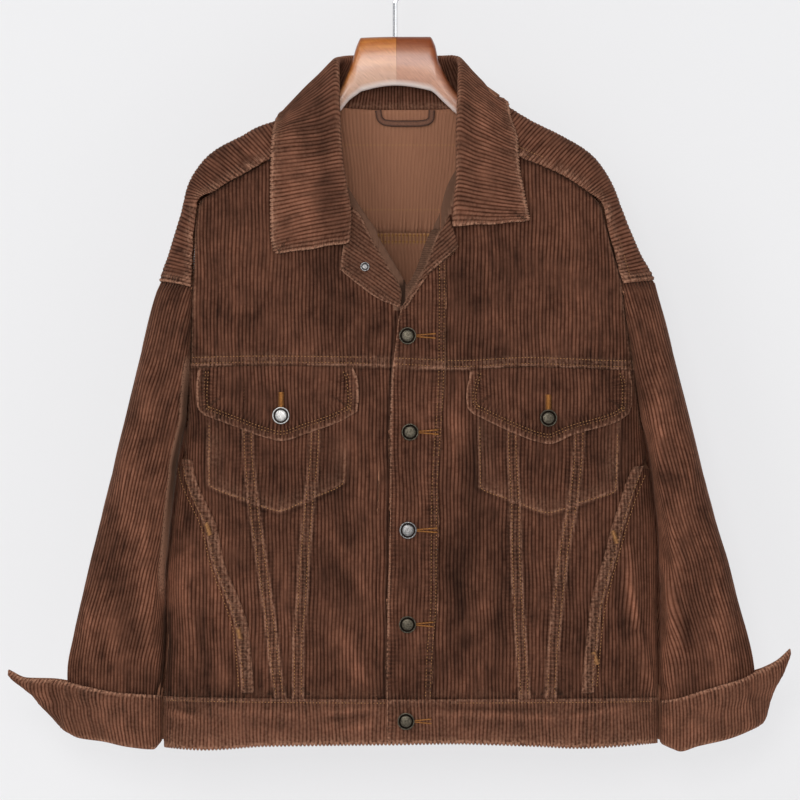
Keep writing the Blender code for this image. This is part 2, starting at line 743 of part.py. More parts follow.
def make_hanger():
    """The wooden hanger, two arms and a tall neck, lofted along x, and its hook's blind hole."""
    mesh = bmesh.new()
    rings = []
    right_arm, neck, left_arm = (-58, 12), (52, 19), (60, 13)
    places = np.concatenate([
        np.linspace(WOOD[0].x, *right_arm),
        np.linspace(-neck[0], *neck),
        np.linspace(left_arm[0], WOOD[-1].x, left_arm[1]),
    ])
    for x in places:
        top, bottom, depth = (
            float(eased([(w.x, getattr(w, key)) for w in WOOD], x)) for key in Wood._fields[1:]
        )
        points = []
        for k in range(WOOD_SIDES):
            turn = 2 * math.pi * (k + 0.5) / WOOD_SIDES
            round_y = np.sign(math.cos(turn)) * abs(math.cos(turn)) ** WOOD_SQUARENESS
            round_z = np.sign(math.sin(turn)) * abs(math.sin(turn)) ** WOOD_SQUARENESS
            highest = math.cos(math.pi / WOOD_SIDES) ** WOOD_SQUARENESS
            z = (top + bottom) / 2 + (top - bottom) / 2 * round_z / highest
            points.append(mesh.verts.new(Vector((x, depth * round_y, z)) * MM))
        rings.append(points)
    for a, b in zip(rings, rings[1:]):
        for k in range(WOOD_SIDES):
            mesh.faces.new((a[k], a[(k + 1) % WOOD_SIDES], b[(k + 1) % WOOD_SIDES], b[k]))
    mesh.faces.new(rings[0])
    mesh.faces.new(list(reversed(rings[-1])))
    wood = finish(mesh, "hanger_wood", "wood")
    cutter_mesh = bmesh.new()
    bmesh.ops.create_cone(cutter_mesh, cap_ends=True, segments=16, radius1=(WIRE / 2 + GAP) * MM,
                          radius2=(WIRE / 2 + GAP) * MM, depth=2 * (SHANK_DEPTH + 0.5) * MM)
    bmesh.ops.translate(cutter_mesh, verts=cutter_mesh.verts, vec=Vector((0, 0, NECK_TOP * MM)))
    data = bpy.data.meshes.new("hook_hole")
    cutter_mesh.to_mesh(data)
    cutter_mesh.free()
    cutter = bpy.data.objects.new("hook_hole", data)
    CUTTERS.objects.link(cutter)
    cutter.hide_render = True
    cutter.display_type = "WIRE"
    bore = wood.modifiers.new("hook hole", "BOOLEAN")
    bore.operation = "DIFFERENCE"
    bore.object = cutter


def make_hook():
    """The steel hook: a straight shank, a swan neck and an open bow."""
    centre = -HOOK_RADIUS + WIRE / 2
    points = [(0, NECK_TOP - SHANK_DEPTH), (0, NECK_TOP), (0, (NECK_TOP + SHANK_TOP) / 2), (0, SHANK_TOP)]
    points += [(1.2, SHANK_TOP + 3.5), (5.2, SHANK_TOP + 7)]
    for degrees in range(-48, 200, 14):
        turn = math.radians(degrees)
        points.append((HOOK_RADIUS * math.cos(turn), centre + HOOK_RADIUS * math.sin(turn)))
    wire = bpy.data.curves.new("hanger_hook", "CURVE")
    wire.dimensions = "3D"
    wire.bevel_depth = WIRE / 2 * MM
    wire.bevel_resolution = 2
    wire.use_fill_caps = True
    line = wire.splines.new("POLY")
    line.points.add(len(points) - 1)
    for spot, (x, z) in zip(line.points, points):
        spot.co = (x * MM, 0, z * MM, 1)
    hook = bpy.data.objects.new("hanger_hook", wire)
    JACKET.objects.link(hook)
    wire.materials.append(FINISHES["steel"])


def turned(name, profile, place, finish_name, lift):
    """A round fitting turned about its axis and set square on the cloth at a place on the front."""
    x, z = place
    seat = Vector((x, -body_depth(x, z, FRONT), z))
    out = body_normal(seat)
    data = bpy.data.meshes.new(name)
    mesh = bmesh.new()
    verts = [mesh.verts.new(Vector((radius, 0, height)) * MM) for radius, height in profile]
    for a, b in zip(verts, verts[1:]):
        mesh.edges.new((a, b))
    mesh.to_mesh(data)
    mesh.free()
    thing = bpy.data.objects.new(name, data)
    JACKET.objects.link(thing)
    data.materials.append(FINISHES[finish_name])
    thing.location = (seat + out * lift) * MM
    thing.rotation_euler = Vector((0, 0, 1)).rotation_difference(out).to_euler()
    screw = thing.modifiers.new("turn", "SCREW")
    screw.steps = BUTTON_STEPS
    screw.render_steps = BUTTON_STEPS
    screw.use_merge_vertices = True
    screw.merge_threshold = 0.0001
    return thing


def make_buttons():
    radius = BUTTON / 2
    profile = ((0, 4.6), (radius * 0.55, 4.5), (radius * 0.86, 4.9), (radius, 4.0), (radius * 0.9, 2.6),
               (3.2, 1.8), (3.2, 0), (0, 0))
    for number, place in enumerate(FRONT_BUTTONS, 1):
        turned(f"front_button_{number}", profile, place, "bronze", LAYER + GAP)
    turned("flap_button_right", profile, FLAP_BUTTONS[RIGHT], "silver", LAYER + GAP)
    turned("flap_button_left", profile, FLAP_BUTTONS[LEFT], "bronze", LAYER + GAP)
    half = RIVET / 2
    rivet = ((0, 1.6), (half * 0.6, 1.4), (half, 0.7), (half, 0), (0, 0))
    turned("lapel_rivet", rivet, RIVET_PLACE, "silver", LAYER + GAP)


def make_finish(name, colour, roughness, metallic=0.0):
    material = bpy.data.materials.new(name)
    material.use_nodes = True
    shader = material.node_tree.nodes["Principled BSDF"]
    shader.inputs["Base Color"].default_value = (*colour, 1)
    shader.inputs["Roughness"].default_value = roughness
    shader.inputs["Metallic"].default_value = metallic
    return material


def make_body_panels():
    chest, waist, hem = seam(CHEST_SEAM), seam(WAIST_SEAM), seam(HEM)
    for which, name in ((RIGHT, "right"), (LEFT, "left")):
        outer, inner = seam(OUTER_DART[which]), seam(INNER_DART[which])
        band, mouth, side = seam(BAND_SEAM[which]), seam(POCKET_MOUTH[which]), body_side(which)
        mouth_top = POCKET_MOUTH[which][0][0]

        def side_then_mouth(z):
            return side(z) if z > mouth_top else which * min(which * side(z), which * mouth(z))

        def order(a, b):
            return (a, b) if which == RIGHT else (b, a)

        neck = seam(NECK_AND_ROLL[which])
        panel(f"front_chest_{name}", *order(side, neck), chest, seam(YOKE_SEAM[which]), 8, 7, towards=which)
        panel(f"front_centre_{name}", *order(inner, band), waist, chest, 2, PANEL_ROWS)
        panel(f"front_dart_{name}", *order(outer, inner), waist, chest, 2, PANEL_ROWS)
        panel(f"front_outer_{name}", *order(side_then_mouth, outer), waist, chest, 5, PANEL_ROWS,
              towards=which)
        bottom, top = corner(mouth, waist, -700), corner(side, chest, -400)
        side_top = bottom + (top - bottom) * SIDE_ROWS / PANEL_ROWS
        panel(f"front_side_{name}", *order(side, mouth), waist, lambda x: side_top, 4, SIDE_ROWS,
              towards=which)
        overlay(f"lapel_{name}", LAPEL[which], 4, 4, LAYER if which == RIGHT else 2 * LAYER)
        overlay(f"pocket_flap_{name}", FLAP[which], 8, 3, LAYER, towards=which)
        make_welt(which, f"pocket_welt_{name}")
        make_sleeve(which, f"sleeve_{name}")
        make_cuff(which, f"cuff_{name}")
    roll = seam(((-20, -292), (-17, -296), (10, -343), (34, -384)))
    panel("button_band", seam(BAND_SEAM[RIGHT]), seam(BUTTON_EDGE), waist, roll, 2, PANEL_ROWS)
    panel("buttonhole_band", seam(BUTTONHOLE_EDGE), seam(BAND_SEAM[LEFT]), waist, lambda x: BAND_TOP, 2, 12,
          lift=LAYER)
    panel("waistband_right", body_side(RIGHT), seam(BUTTON_EDGE), hem, waist, 12, 2, towards=RIGHT)
    over = lambda run, z: LAYER * float(eased(((0, 1), (36, 1), (70, 0), (300, 0)), run))
    panel("waistband_left", seam(BUTTONHOLE_EDGE), body_side(LEFT), hem, waist, 12, 2, lift=over,
          towards=LEFT)
    back_hem, back_yoke = seam(BACK_HEM), seam(BACK_YOKE_SEAM)
    panel("back_panel", body_side(RIGHT), body_side(LEFT), waist, back_yoke, 16, 12, side=BACK, towards=0)
    panel("waistband_back", body_side(RIGHT), body_side(LEFT), back_hem, waist, 16, 2, side=BACK, towards=0)


for old in list(bpy.data.objects):
    bpy.data.objects.remove(old, do_unlink=True)
JACKET = bpy.data.collections.new("corduroy_jacket")
CUTTERS = bpy.data.collections.new("cutters")
for group in (JACKET, CUTTERS):
    bpy.context.scene.collection.children.link(group)
FINISHES = {
    "corduroy": make_finish("corduroy", (0.115, 0.056, 0.034), 0.9),
    "wood": make_finish("lacquered wood", (0.42, 0.15, 0.05), 0.25),
    "steel": make_finish("hook steel", (0.62, 0.62, 0.64), 0.2, 1.0),
    "bronze": make_finish("aged bronze", (0.10, 0.09, 0.075), 0.4, 1.0),
    "silver": make_finish("worn silver", (0.6, 0.59, 0.57), 0.35, 1.0),
}
make_body_panels()
make_yoke()
make_collar()
make_loop()
make_buttons()
make_hanger()
make_hook()
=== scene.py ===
"""A brown corduroy trucker jacket on a lacquered hanger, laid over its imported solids."""
import math
import bmesh
import bpy
import numpy as np
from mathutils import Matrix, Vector


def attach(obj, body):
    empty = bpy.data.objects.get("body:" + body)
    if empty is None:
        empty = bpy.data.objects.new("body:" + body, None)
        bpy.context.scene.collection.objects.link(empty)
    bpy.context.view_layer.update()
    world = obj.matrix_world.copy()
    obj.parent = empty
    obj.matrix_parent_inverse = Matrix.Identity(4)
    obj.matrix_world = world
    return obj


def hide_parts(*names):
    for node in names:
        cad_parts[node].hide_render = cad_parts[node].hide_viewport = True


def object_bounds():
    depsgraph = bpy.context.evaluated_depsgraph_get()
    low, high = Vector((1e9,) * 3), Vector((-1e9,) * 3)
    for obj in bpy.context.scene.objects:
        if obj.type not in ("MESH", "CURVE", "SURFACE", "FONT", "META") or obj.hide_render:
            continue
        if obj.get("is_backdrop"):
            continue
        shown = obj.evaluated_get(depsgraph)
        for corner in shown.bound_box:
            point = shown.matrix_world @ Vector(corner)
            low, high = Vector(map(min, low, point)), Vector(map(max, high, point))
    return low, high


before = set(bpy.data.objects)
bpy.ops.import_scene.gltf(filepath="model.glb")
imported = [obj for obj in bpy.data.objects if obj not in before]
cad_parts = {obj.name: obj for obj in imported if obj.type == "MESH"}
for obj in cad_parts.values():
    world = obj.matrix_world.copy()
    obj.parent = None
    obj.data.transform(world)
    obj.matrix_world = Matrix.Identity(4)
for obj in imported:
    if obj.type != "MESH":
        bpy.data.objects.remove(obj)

cad_box = [list(corner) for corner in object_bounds()]
MM = 0.001


# The studio: a pale wall close behind the jacket and a pale floor far below, each seen from its front only.
# A lamp far in front lights the jacket evenly, and four soft lamps round it bring out its folds.
def srgb(red, green, blue):
    return tuple(
        ((c / 255 + 0.055) / 1.055) ** 2.4 if c > 10 else c / 255 / 12.92 for c in (red, green, blue)
    )


def node(tree, kind, **settings):
    made = tree.nodes.new(kind)
    for key, value in settings.items():
        setattr(made, key, value)
    return made


def new_paint(name, **values):
    """A material, its tree and its shader, with plain values on some of the shader's sockets."""
    paint = bpy.data.materials.new(name)
    paint.use_nodes = True
    shader = paint.node_tree.nodes["Principled BSDF"]
    for key, value in values.items():
        shader.inputs[key.replace("_", " ")].default_value = value
    return paint, paint.node_tree, shader


class Dial:
    """A number carried by a shader tree, reckoned with as plain numbers are."""

    def __init__(self, socket):
        self.socket = socket

    def reckoned(self, operation, *values):
        made = node(self.socket.id_data, "ShaderNodeMath", operation=operation)
        for socket, value in zip(made.inputs, values):
            feed(socket, value)
        return Dial(made.outputs[0])

    def __abs__(self):
        return self.reckoned("ABSOLUTE", self)

    def sine(self):
        return self.reckoned("SINE", self)

    def floor(self):
        return self.reckoned("FLOOR", self)

    def at_least(self, least):
        return self.reckoned("MAXIMUM", self, least)

    def clipped(self):
        """The same number, kept between 0 and 1."""
        self.socket.node.use_clamp = True
        return self


# the signs of sums, with the number on either side of them
for sign, operation in (("add", "ADD"), ("sub", "SUBTRACT"), ("mul", "MULTIPLY"), ("truediv", "DIVIDE"),
                        ("pow", "POWER"), ("gt", "GREATER_THAN"), ("lt", "LESS_THAN")):
    setattr(Dial, f"__{sign}__", lambda a, b, operation=operation: a.reckoned(operation, a, b))
    setattr(Dial, f"__r{sign}__", lambda a, b, operation=operation: a.reckoned(operation, b, a))


def feed(socket, value):
    """Set a socket to a number or a colour, or join another node's output to it."""
    if isinstance(value, (int, float)):
        socket.default_value = value
    elif isinstance(value, tuple):
        socket.default_value = (*value, 1)
    else:
        socket.id_data.links.new(value.socket if isinstance(value, Dial) else value, socket)


def blend(tree, share, a, b, kind="MIX"):
    """A colour mix of two colours or outputs."""
    made = node(tree, "ShaderNodeMix", data_type="RGBA", blend_type=kind)
    for place, value in ((0, share), (6, a), (7, b)):
        feed(made.inputs[place], value)
    return made.outputs[2]


def noise(tree, at, scale, detail=2.0, roughness=0.5):
    made = node(tree, "ShaderNodeTexNoise")
    for key, value in (("Vector", at), ("Scale", scale), ("Detail", detail), ("Roughness", roughness)):
        feed(made.inputs[key], value)
    return Dial(made.outputs["Fac"])


def wandering(tree, grain, dark, light):
    """A colour that goes from one to another as a grain does."""
    spread = node(tree, "ShaderNodeMapRange")
    for key, value in (("From Min", 0.3), ("From Max", 0.7), ("Value", grain)):
        feed(spread.inputs[key], value)
    return blend(tree, spread.outputs[0], dark, light)


def studio_paint(name, colour, glow):
    """A faintly mottled matt paint that is clear from behind and casts no shadow."""
    paint, tree, shader = new_paint(
        name, Roughness=0.9, Emission_Color=(0.985, 0.985, 1.0, 1), Emission_Strength=glow,
    )
    mottle = noise(tree, node(tree, "ShaderNodeTexCoord").outputs["Object"], 3.0, 3.0)
    feed(shader.inputs["Base Color"], wandering(tree, mottle, tuple(c * 0.975 for c in colour), colour))
    from_behind = Dial(node(tree, "ShaderNodeNewGeometry").outputs["Backfacing"])
    unseen = from_behind.at_least(Dial(node(tree, "ShaderNodeLightPath").outputs["Is Shadow Ray"]))
    either, clear = node(tree, "ShaderNodeMixShader"), node(tree, "ShaderNodeBsdfTransparent")
    for socket, value in zip(either.inputs, (unseen, shader.outputs[0], clear.outputs[0])):
        feed(socket, value)
    feed(tree.nodes["Material Output"].inputs["Surface"], either.outputs[0])
    return paint


WALL_BEHIND = 0.17
FLOOR_BELOW = -1.35
STUDIO = 7
for name, spot, tilt, colour, glow in (
    ("wall", (0, WALL_BEHIND, FLOOR_BELOW + STUDIO / 2), math.pi / 2, srgb(120, 120, 120), 0.68),
    ("floor", (0, WALL_BEHIND - STUDIO / 2, FLOOR_BELOW), 0, srgb(236, 236, 236), 0.0),
):
    bpy.ops.mesh.primitive_plane_add(size=STUDIO, location=spot, rotation=(tilt, 0, 0))
    flat = bpy.context.object
    flat.name = f"studio_{name}"
    flat.data.materials.append(studio_paint(f"pale {name} paint", colour, glow))
    flat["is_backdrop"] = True

LAMPS = (
    ("front lamp", (-0.35, -6.3, 0.45), 1.3, 118),
    ("key lamp", (-1.9, -2.9, 1.0), 1.5, 33),
    ("fill lamp", (2.5, -3.0, -0.7), 2.2, 15),
    ("low lamp", (-0.3, -2.6, -2.9), 2.2, 19),
    ("back lamp", (0.5, 2.9, 0.3), 2.0, 42),
)
JACKET_MIDDLE = Vector((0.0, 0.0, -0.42))
for name, spot, across, power in LAMPS:
    light = bpy.data.lights.new(name, "AREA")
    light.size = across
    light.energy = power
    lamp = bpy.data.objects.new(name, light)
    lamp.location = spot
    lamp.rotation_euler = (JACKET_MIDDLE - Vector(spot)).to_track_quat("-Z", "Y").to_euler()
    bpy.context.scene.collection.objects.link(lamp)
room = bpy.data.worlds.new("studio air")
room.use_nodes = True
room.node_tree.nodes["Background"].inputs["Color"].default_value = (0.93, 0.94, 0.96, 1)
room.node_tree.nodes["Background"].inputs["Strength"].default_value = 0.38
bpy.context.scene.world = room
bpy.context.scene.view_settings.view_transform = "Standard"

CAMERA_DISTANCE = 7.0
FRAME_WIDTH = 0.80
camera = bpy.data.cameras.new("camera")
camera.sensor_width = 36
camera.lens = 36 * CAMERA_DISTANCE / FRAME_WIDTH
viewer = bpy.data.objects.new("camera", camera)
viewer.location = (0.005, -0.035 - CAMERA_DISTANCE, -0.445)
viewer.rotation_euler = (math.pi / 2, 0, 0)
bpy.context.scene.collection.objects.link(viewer)
bpy.context.scene.camera = viewer


# The back panel: one wide piece of corduroy from the yoke to the waistband, its wales upright.
# All cloth is laid on tables of its form, and every wale is a real ridge with a valley beside it.
FRONT, BACK, RIGHT, LEFT = -1, 1, -1, 1
SIDES = ((RIGHT, "right"), (LEFT, "left"))
WALE = 3.7
CLOTH = 1.5
LAYER = 2.8
RINGS = np.array((
    # height, right, left, front, back
    (-143, -83, 101, 14, 16),
    (-150, -95, 113, 16, 18),
    (-165, -119, 138, 21, 22),
    (-179, -151, 166, 25, 24),
    (-193, -177, 188, 28, 26),
    (-207, -192, 203, 30, 27),
    (-231, -207, 219, 33, 29),
    (-254, -213, 228, 35, 30),
    (-295, -226, 245, 38, 32),
    (-326, -235, 259, 40, 33),
    (-400, -222, 250, 42, 35),
    (-440, -214, 248, 43, 35),
    (-470, -209.5, 248, 43, 35),
    (-521, -216.5, 256, 43, 36),
    (-588, -224, 262, 42, 36),
    (-624, -228, 263, 42, 36),
    (-687, -227, 263, 40, 35),
    (-745, -232, 263.5, 38, 34),
    (-800, -232, 264, 37, 33),
))
RING_POWER = 5
UNDERARM = -470
ARMHOLE = {
    RIGHT: ((-245, -196), (-254, -198), (-280, -201), (-318, -203), (-356, -204), (-405, -205.5),
            (-470, -209.5)),
    LEFT: ((-245, 206), (-273, 213), (-299, 219.8), (-330, 228), (-358, 231), (-408, 239), (-470, 248)),
}
WAIST_SEAM = ((-240, -742), (0, -744), (270, -743))
BACK_YOKE_SEAM = ((-210, -281), (0, -276), (230, -283))


def eased(rows, at):
    """The value at `at` of a smooth curve through (key, value) rows, with no overshoot."""
    keys, values = np.array(sorted(tuple(row) for row in rows), float).T
    width = np.diff(keys)
    rise = np.diff(values) / width
    slope = np.concatenate([rise[:1], np.zeros(len(rise) - 1), rise[-1:]])
    both = rise[:-1] * rise[1:]
    same = both > 0
    slope[1:-1][same] = 2 * both[same] / (rise[:-1] + rise[1:])[same]
    at = np.clip(at, keys[0], keys[-1])
    i = np.clip(np.searchsorted(keys, at) - 1, 0, len(width) - 1)
    t = (at - keys[i]) / width[i]
    return (
        values[i] * (1 + 2 * t) * (1 - t) ** 2
        + slope[i] * width[i] * t * (1 - t) ** 2
        + values[i + 1] * t * t * (3 - 2 * t)
        + slope[i + 1] * width[i] * t * t * (t - 1)
    )


def ring(z, side):
    """Centre, half width and depth of the body's front or back at height z."""
    right, left, depth = (eased(RINGS[:, (0, k)], z) for k in (1, 2, 3 if side == FRONT else 4))
    return (right + left) / 2, (left - right) / 2, depth


def ring_line(z, side):
    """x, y and running length of the body's front or back at height z, with length 0 at x = 0."""
    centre, half, depth = ring(z, side)
    turn = np.linspace(-math.pi / 2, math.pi / 2, 161)
    x = centre + half * np.sign(np.sin(turn)) * np.abs(np.sin(turn)) ** (2 / RING_POWER)
    y = side * depth * np.cos(turn)
    run = np.concatenate([[0], np.cumsum(np.hypot(np.diff(x), np.diff(y)))])
    return x, y, run - np.interp(0, x, run)


def run_at(x, z, side):
    xs, _, runs = ring_line(z, side)
    return float(np.interp(x, xs, runs))


def body_depth(x, z, side):
    centre, half, depth = ring(z, side)
    return depth * np.sqrt(np.clip(1 - np.abs((x - centre) / half) ** RING_POWER, 0, None))


def body_level(x, y, z):
    centre, half, front = ring(z, FRONT)
    back = eased(RINGS[:, (0, 4)], z)
    return np.abs((x - centre) / half) ** RING_POWER + (y / np.where(y < 0, front, back)) ** 2


def body_outward(p):
    """Outward directions of the body's rings at points on or near them."""
    x, y, z = p[..., 0], p[..., 1], p[..., 2]
    step = 0.05
    return np.stack([
        body_level(x + step, y, z) - body_level(x - step, y, z),
        body_level(x, y + step, z) - body_level(x, y - step, z),
        body_level(x, y, z + step) - body_level(x, y, z - step),
    ], -1) / (2 * step)


def unit(v):
    return v / np.maximum(np.linalg.norm(v, axis=-1, keepdims=True), 1e-9)


class Form:
    """A table of points and outward directions by two lengths, c across the wales and t along them."""

    def __init__(self, across, along, points, outward=None, facing=1):
        self.across, self.along = across, along
        if outward is None:
            outward = np.cross(np.gradient(points, axis=0), np.gradient(points, axis=1)) * facing
        self.table = np.concatenate([points, unit(outward)], -1)

    def at(self, c, t):
        """Points and outward directions at given lengths, from the four nearest of the table."""
        i, j = (
            np.clip((at - axis[0]) / (axis[1] - axis[0]), 0, len(axis) - 1.001)
            for at, axis in ((c, self.across), (t, self.along))
        )
        i0, j0 = i.astype(int), j.astype(int)
        u, v = (i - i0)[:, None], (j - j0)[:, None]
        found = sum(
            self.table[i0 + a, j0 + b] * (u if a else 1 - u) * (v if b else 1 - v)
            for b in (0, 1) for a in (0, 1)
        )
        return found[:, :3], unit(found[:, 3:])


def body_form(side):
    heights = np.arange(-812, -139, 2.0)
    runs = np.arange(-310, 311, 1.0)
    points = np.zeros((len(runs), len(heights), 3))
    for i, z in enumerate(heights):
        x, y, run = ring_line(z, side)
        points[:, i, 0] = np.interp(runs, run, x)
        points[:, i, 1] = np.interp(runs, run, y)
        points[:, i, 2] = z
    outward = body_outward(points)
    outward[..., 1] = np.where(side * outward[..., 1] < 0, 0, outward[..., 1])
    return Form(runs, heights, points, outward)


FORMS = {FRONT: body_form(FRONT), BACK: body_form(BACK)}


def seam(rows):
    return lambda at: float(eased(rows, at))


def body_side(which):
    """The outer edge of the front and back panels: the armhole, and the side seam below it."""

    def at(z):
        if z > UNDERARM:
            return float(eased(ARMHOLE[which], z))
        centre, half, _ = ring(z, FRONT)
        return float(centre + which * half)

    return at


def corner(upright, level, z):
    """Where an upright seam, x at z, crosses a level one, z at x."""
    for _ in range(12):
        x = upright(z)
        z = level(x)
    return z


EDGE_POINTS = 50


def panel_outline(right, left, low, high, side=FRONT):
    """A panel's outline between two upright and two level seams, as lengths along the ring and heights."""
    right_low, right_high = corner(right, low, -600), corner(right, high, -300)
    left_low, left_high = corner(left, low, -600), corner(left, high, -300)

    def level_edge(level, right_end, left_end):
        across = (right(right_end) * (1 - s) + left(left_end) * s for s in np.linspace(0, 1, EDGE_POINTS))
        return [(x, level(x)) for x in across]

    def upright_edge(upright, first, last):
        return [(upright(z), z) for z in np.linspace(first, last, EDGE_POINTS)[1:-1]]

    line = level_edge(low, right_low, left_low) + upright_edge(left, left_low, left_high)
    line += level_edge(high, right_high, left_high)[::-1] + upright_edge(right, right_high, right_low)
    return np.array([(run_at(x, z, side), z) for x, z in line])


def beside(line, x, z):
    """Distance from a drawn line, its side (1 on the left of its travel) and the length run along it."""
    line = np.asarray(line, float)
    nearest = np.full(x.shape, 1e9)
    side, run = np.zeros(x.shape), np.zeros(x.shape)
    done = 0.0
    for (ax, az), (bx, bz) in zip(line[:-1], line[1:]):
        dx, dz = bx - ax, bz - az
        length = math.hypot(dx, dz)
        if length < 1e-6:
            continue
        share = np.clip(((x - ax) * dx + (z - az) * dz) / length**2, 0, 1)
        px, pz = x - ax - share * dx, z - az - share * dz
        distance = np.hypot(px, pz)
        closer = distance < nearest
        nearest = np.where(closer, distance, nearest)
        run = np.where(closer, done + share * length, run)
        side = np.where(closer, np.sign(dx * pz - dz * px), side)
        done += length
    return nearest, side, run


def bump(distance, width):
    return np.exp(-((distance / width) ** 2))


def wander(run, seed):
    """A slow uneven value round 0.5, the same each time."""
    waves = ((0.2, 0.11, 1.0), (0.18, 0.29, 2.1), (0.12, 0.63, 3.7))
    return 0.5 + sum(size * np.sin(run * pace + start * seed) for size, pace, start in waves)


def creases(rows, x, z):
    """Soft folds: each row is a line's two ends, its half width and its height, negative for a trough."""
    height = np.zeros(x.shape)
    for ax, az, bx, bz, width, rise in rows:
        distance, _, run = beside(((ax, az), (bx, bz)), x, z)
        share = run / math.hypot(bx - ax, bz - az)
        height += rise * bump(distance, width) * np.sqrt(np.clip(4 * share * (1 - share), 0, 1))
    return height


class Relief:
    """What stands on a form: height, light wear, painted shade (painted light below zero), and where the
    nearest puckering seam is.
    """

    def __init__(self, like):
        self.height = np.zeros(like.shape)
        self.wear = np.zeros(like.shape)
        self.shade = np.zeros(like.shape)
        self.off = np.full(like.shape, 30.0)
        self.next_off = np.full(like.shape, 60.0)
        self.run = np.zeros(like.shape)

    def seam(self, distance, run):
        distance = np.maximum(distance, 0)
        closer = distance < self.off
        self.next_off = np.where(closer, self.off, np.minimum(self.next_off, distance))
        self.off = np.where(closer, distance, self.off)
        self.run = np.where(closer, run, self.run)

    def puckered(self):
        """The distance from the nearest seam, made far where the next one is nearly as near."""
        return self.off + 26 * np.clip(1 - (self.next_off - self.off) / 7, 0, 1)

    def profile(self, distance, rows, uneven=None, where=1.0):
        """Ridges, grooves, wear and tone beside a line. A row names what it changes, how far in it lies, its
        half width and its amount. A fifth number makes it uneven, and is its share where it is faintest."""
        for what, far_in, half, amount, *least in rows:
            part = amount * bump(distance - far_in, half) * where
            if least:
                part = part * (least[0] + uneven)
            setattr(self, what, getattr(self, what) + part)

    def folds(self, rows, p, height, tone, where=1.0):
        """Soft folds, with painted highlights on their ridges and painted shade in their troughs."""
        fold = creases(rows, p[:, 0], p[:, 2]) * where
        self.height += height * fold
        self.shade -= tone * fold

    def band(self, distance, run, half, rise, worn, seed):
        """A lapped seam: a raised flat band, painted a little lighter, whose two edges are worn light and
        painted lighter still, with painted shade just outside them.
        """
        inside = 1 / (1 + np.exp(np.clip(distance - half, -9, 9) * 2.2))
        uneven = wander(run, seed)
        self.height += rise * inside * (0.7 + 0.6 * uneven)
        self.wear += 0.36 * worn * inside * (0.4 + uneven)
        self.shade -= 0.2 * inside
        self.profile(distance - half, (
            ("wear", -0.5, 1.0, 0.9 * worn, 0.4), ("shade", 1.8, 1.5, 0.55, 0.4),
            ("shade", -0.6, 0.9, -0.7 * worn),
        ), uneven)
        self.seam(distance, run)

    def edge(self, distance, run, worn, seed, stitch=None):
        """A turned edge: it rolls off, catches the wear, is painted lighter along its rim, and has a sewn
        groove inside it in painted shade.
        """
        self.profile(distance, (
            ("height", 0, 1.1, -0.7), ("shade", 0.7, 1.2, -1.1 * worn), ("wear", 0.3, 1.2, 1.28 * worn, 0.75),
        ), wander(run, seed))
        if stitch:
            self.profile(distance, (
                ("height", stitch, 1.0, -0.45), ("wear", stitch * 0.55, stitch * 0.45, 0.3 * worn),
                ("shade", stitch + 1.0, 1.2, 0.25),
            ))
        self.seam(distance, run)


WALE_SHAPE = (0.0, 0.82, 1.0, 0.82, 0.0)
EDGE_INSIDE = 0.02
WELDED = 0.03
END_ROWS = np.array([1.0, 2.2])
PLAIN_END, SCALLOPED_END = 0.8, 2.8


def sway(c, t):
    """How far the wales wander sideways, the same for all pieces that share a form."""
    wide = 0.95 * np.sin(t * 0.031 + c * 0.02) * np.sin(c * 0.043 + 1.0)
    return wide + 0.45 * np.sin(t * 0.083 + c * 0.06 + 2.0)


def wale_columns(outline, rows, step, scallop):
    """Columns of points along the wales, cut off by the outline: the lengths across and along, the share of
    the wale's height, and how far a scalloped end is pushed out."""
    first_c, last_c = outline[:, 0].min(), outline[:, 0].max()
    ahead = np.roll(outline, -1, axis=0)
    inside_c = np.arange(math.ceil(first_c / step + 0.2), math.floor(last_c / step - 0.2) + 1) * step
    for c in (first_c + EDGE_INSIDE, *inside_c, last_c - EDGE_INSIDE):
        crossing = (outline[:, 0] <= c) != (ahead[:, 0] <= c)
        a, b = outline[crossing], ahead[crossing]
        ends = np.sort(a[:, 1] + (c - a[:, 0]) / (b[:, 0] - a[:, 0]) * (b[:, 1] - a[:, 1]))
        if len(ends) < 2:
            continue
        longest = int(np.argmax(np.diff(ends)[::2])) * 2
        low, high = ends[longest], ends[longest + 1]
        kept = [SCALLOPED_END if end else PLAIN_END for end in scallop]
        inner = rows[(rows > low + kept[0]) & (rows < high - kept[1])]
        near_ends = [low + END_ROWS] * bool(scallop[0]) + [high - END_ROWS] * bool(scallop[1])
        t = np.unique(np.concatenate([[low], *near_ends, inner, [high]]))
        rise = float(np.interp(c / step % 4, range(5), WALE_SHAPE))
        shift = np.zeros(len(t))
        shift[0] -= scallop[0] * rise
        shift[-1] += scallop[1] * rise
        yield np.full(len(t), c), t, np.full(len(t), rise), shift


def faces_between(columns):
    """Triangles that join each column of points to the next."""
    starts = np.cumsum([0] + [len(column[0]) for column in columns])
    faces = []
    for n in range(len(columns) - 1):
        a, b = starts[n], starts[n + 1]
        ta, tb = columns[n][1], columns[n + 1][1]
        i = j = 0
        while i < len(ta) - 1 or j < len(tb) - 1:
            if j == len(tb) - 1 or (i < len(ta) - 1 and ta[i + 1] <= tb[j + 1]):
                faces.append((a + i, b + j, a + i + 1))
                i += 1
            else:
                faces.append((a + i, b + j, b + j + 1))
                j += 1
    return np.array(faces)


def flat_cut(outline):
    """The sides of the smallest rectangle that holds an outline, and the outline's own area, in metres."""
    x, y = outline.T
    spans = []
    for degrees in range(0, 90, 3):
        cosine, sine = math.cos(math.radians(degrees)), math.sin(math.radians(degrees))
        spans.append((float(np.ptp(x * cosine + y * sine)) * MM, float(np.ptp(y * cosine - x * sine)) * MM))
    area = abs(np.dot(x, np.roll(y, -1)) - np.dot(y, np.roll(x, -1))) / 2
    return min(spans, key=lambda pair: pair[0] * pair[1]), float(area) * MM * MM


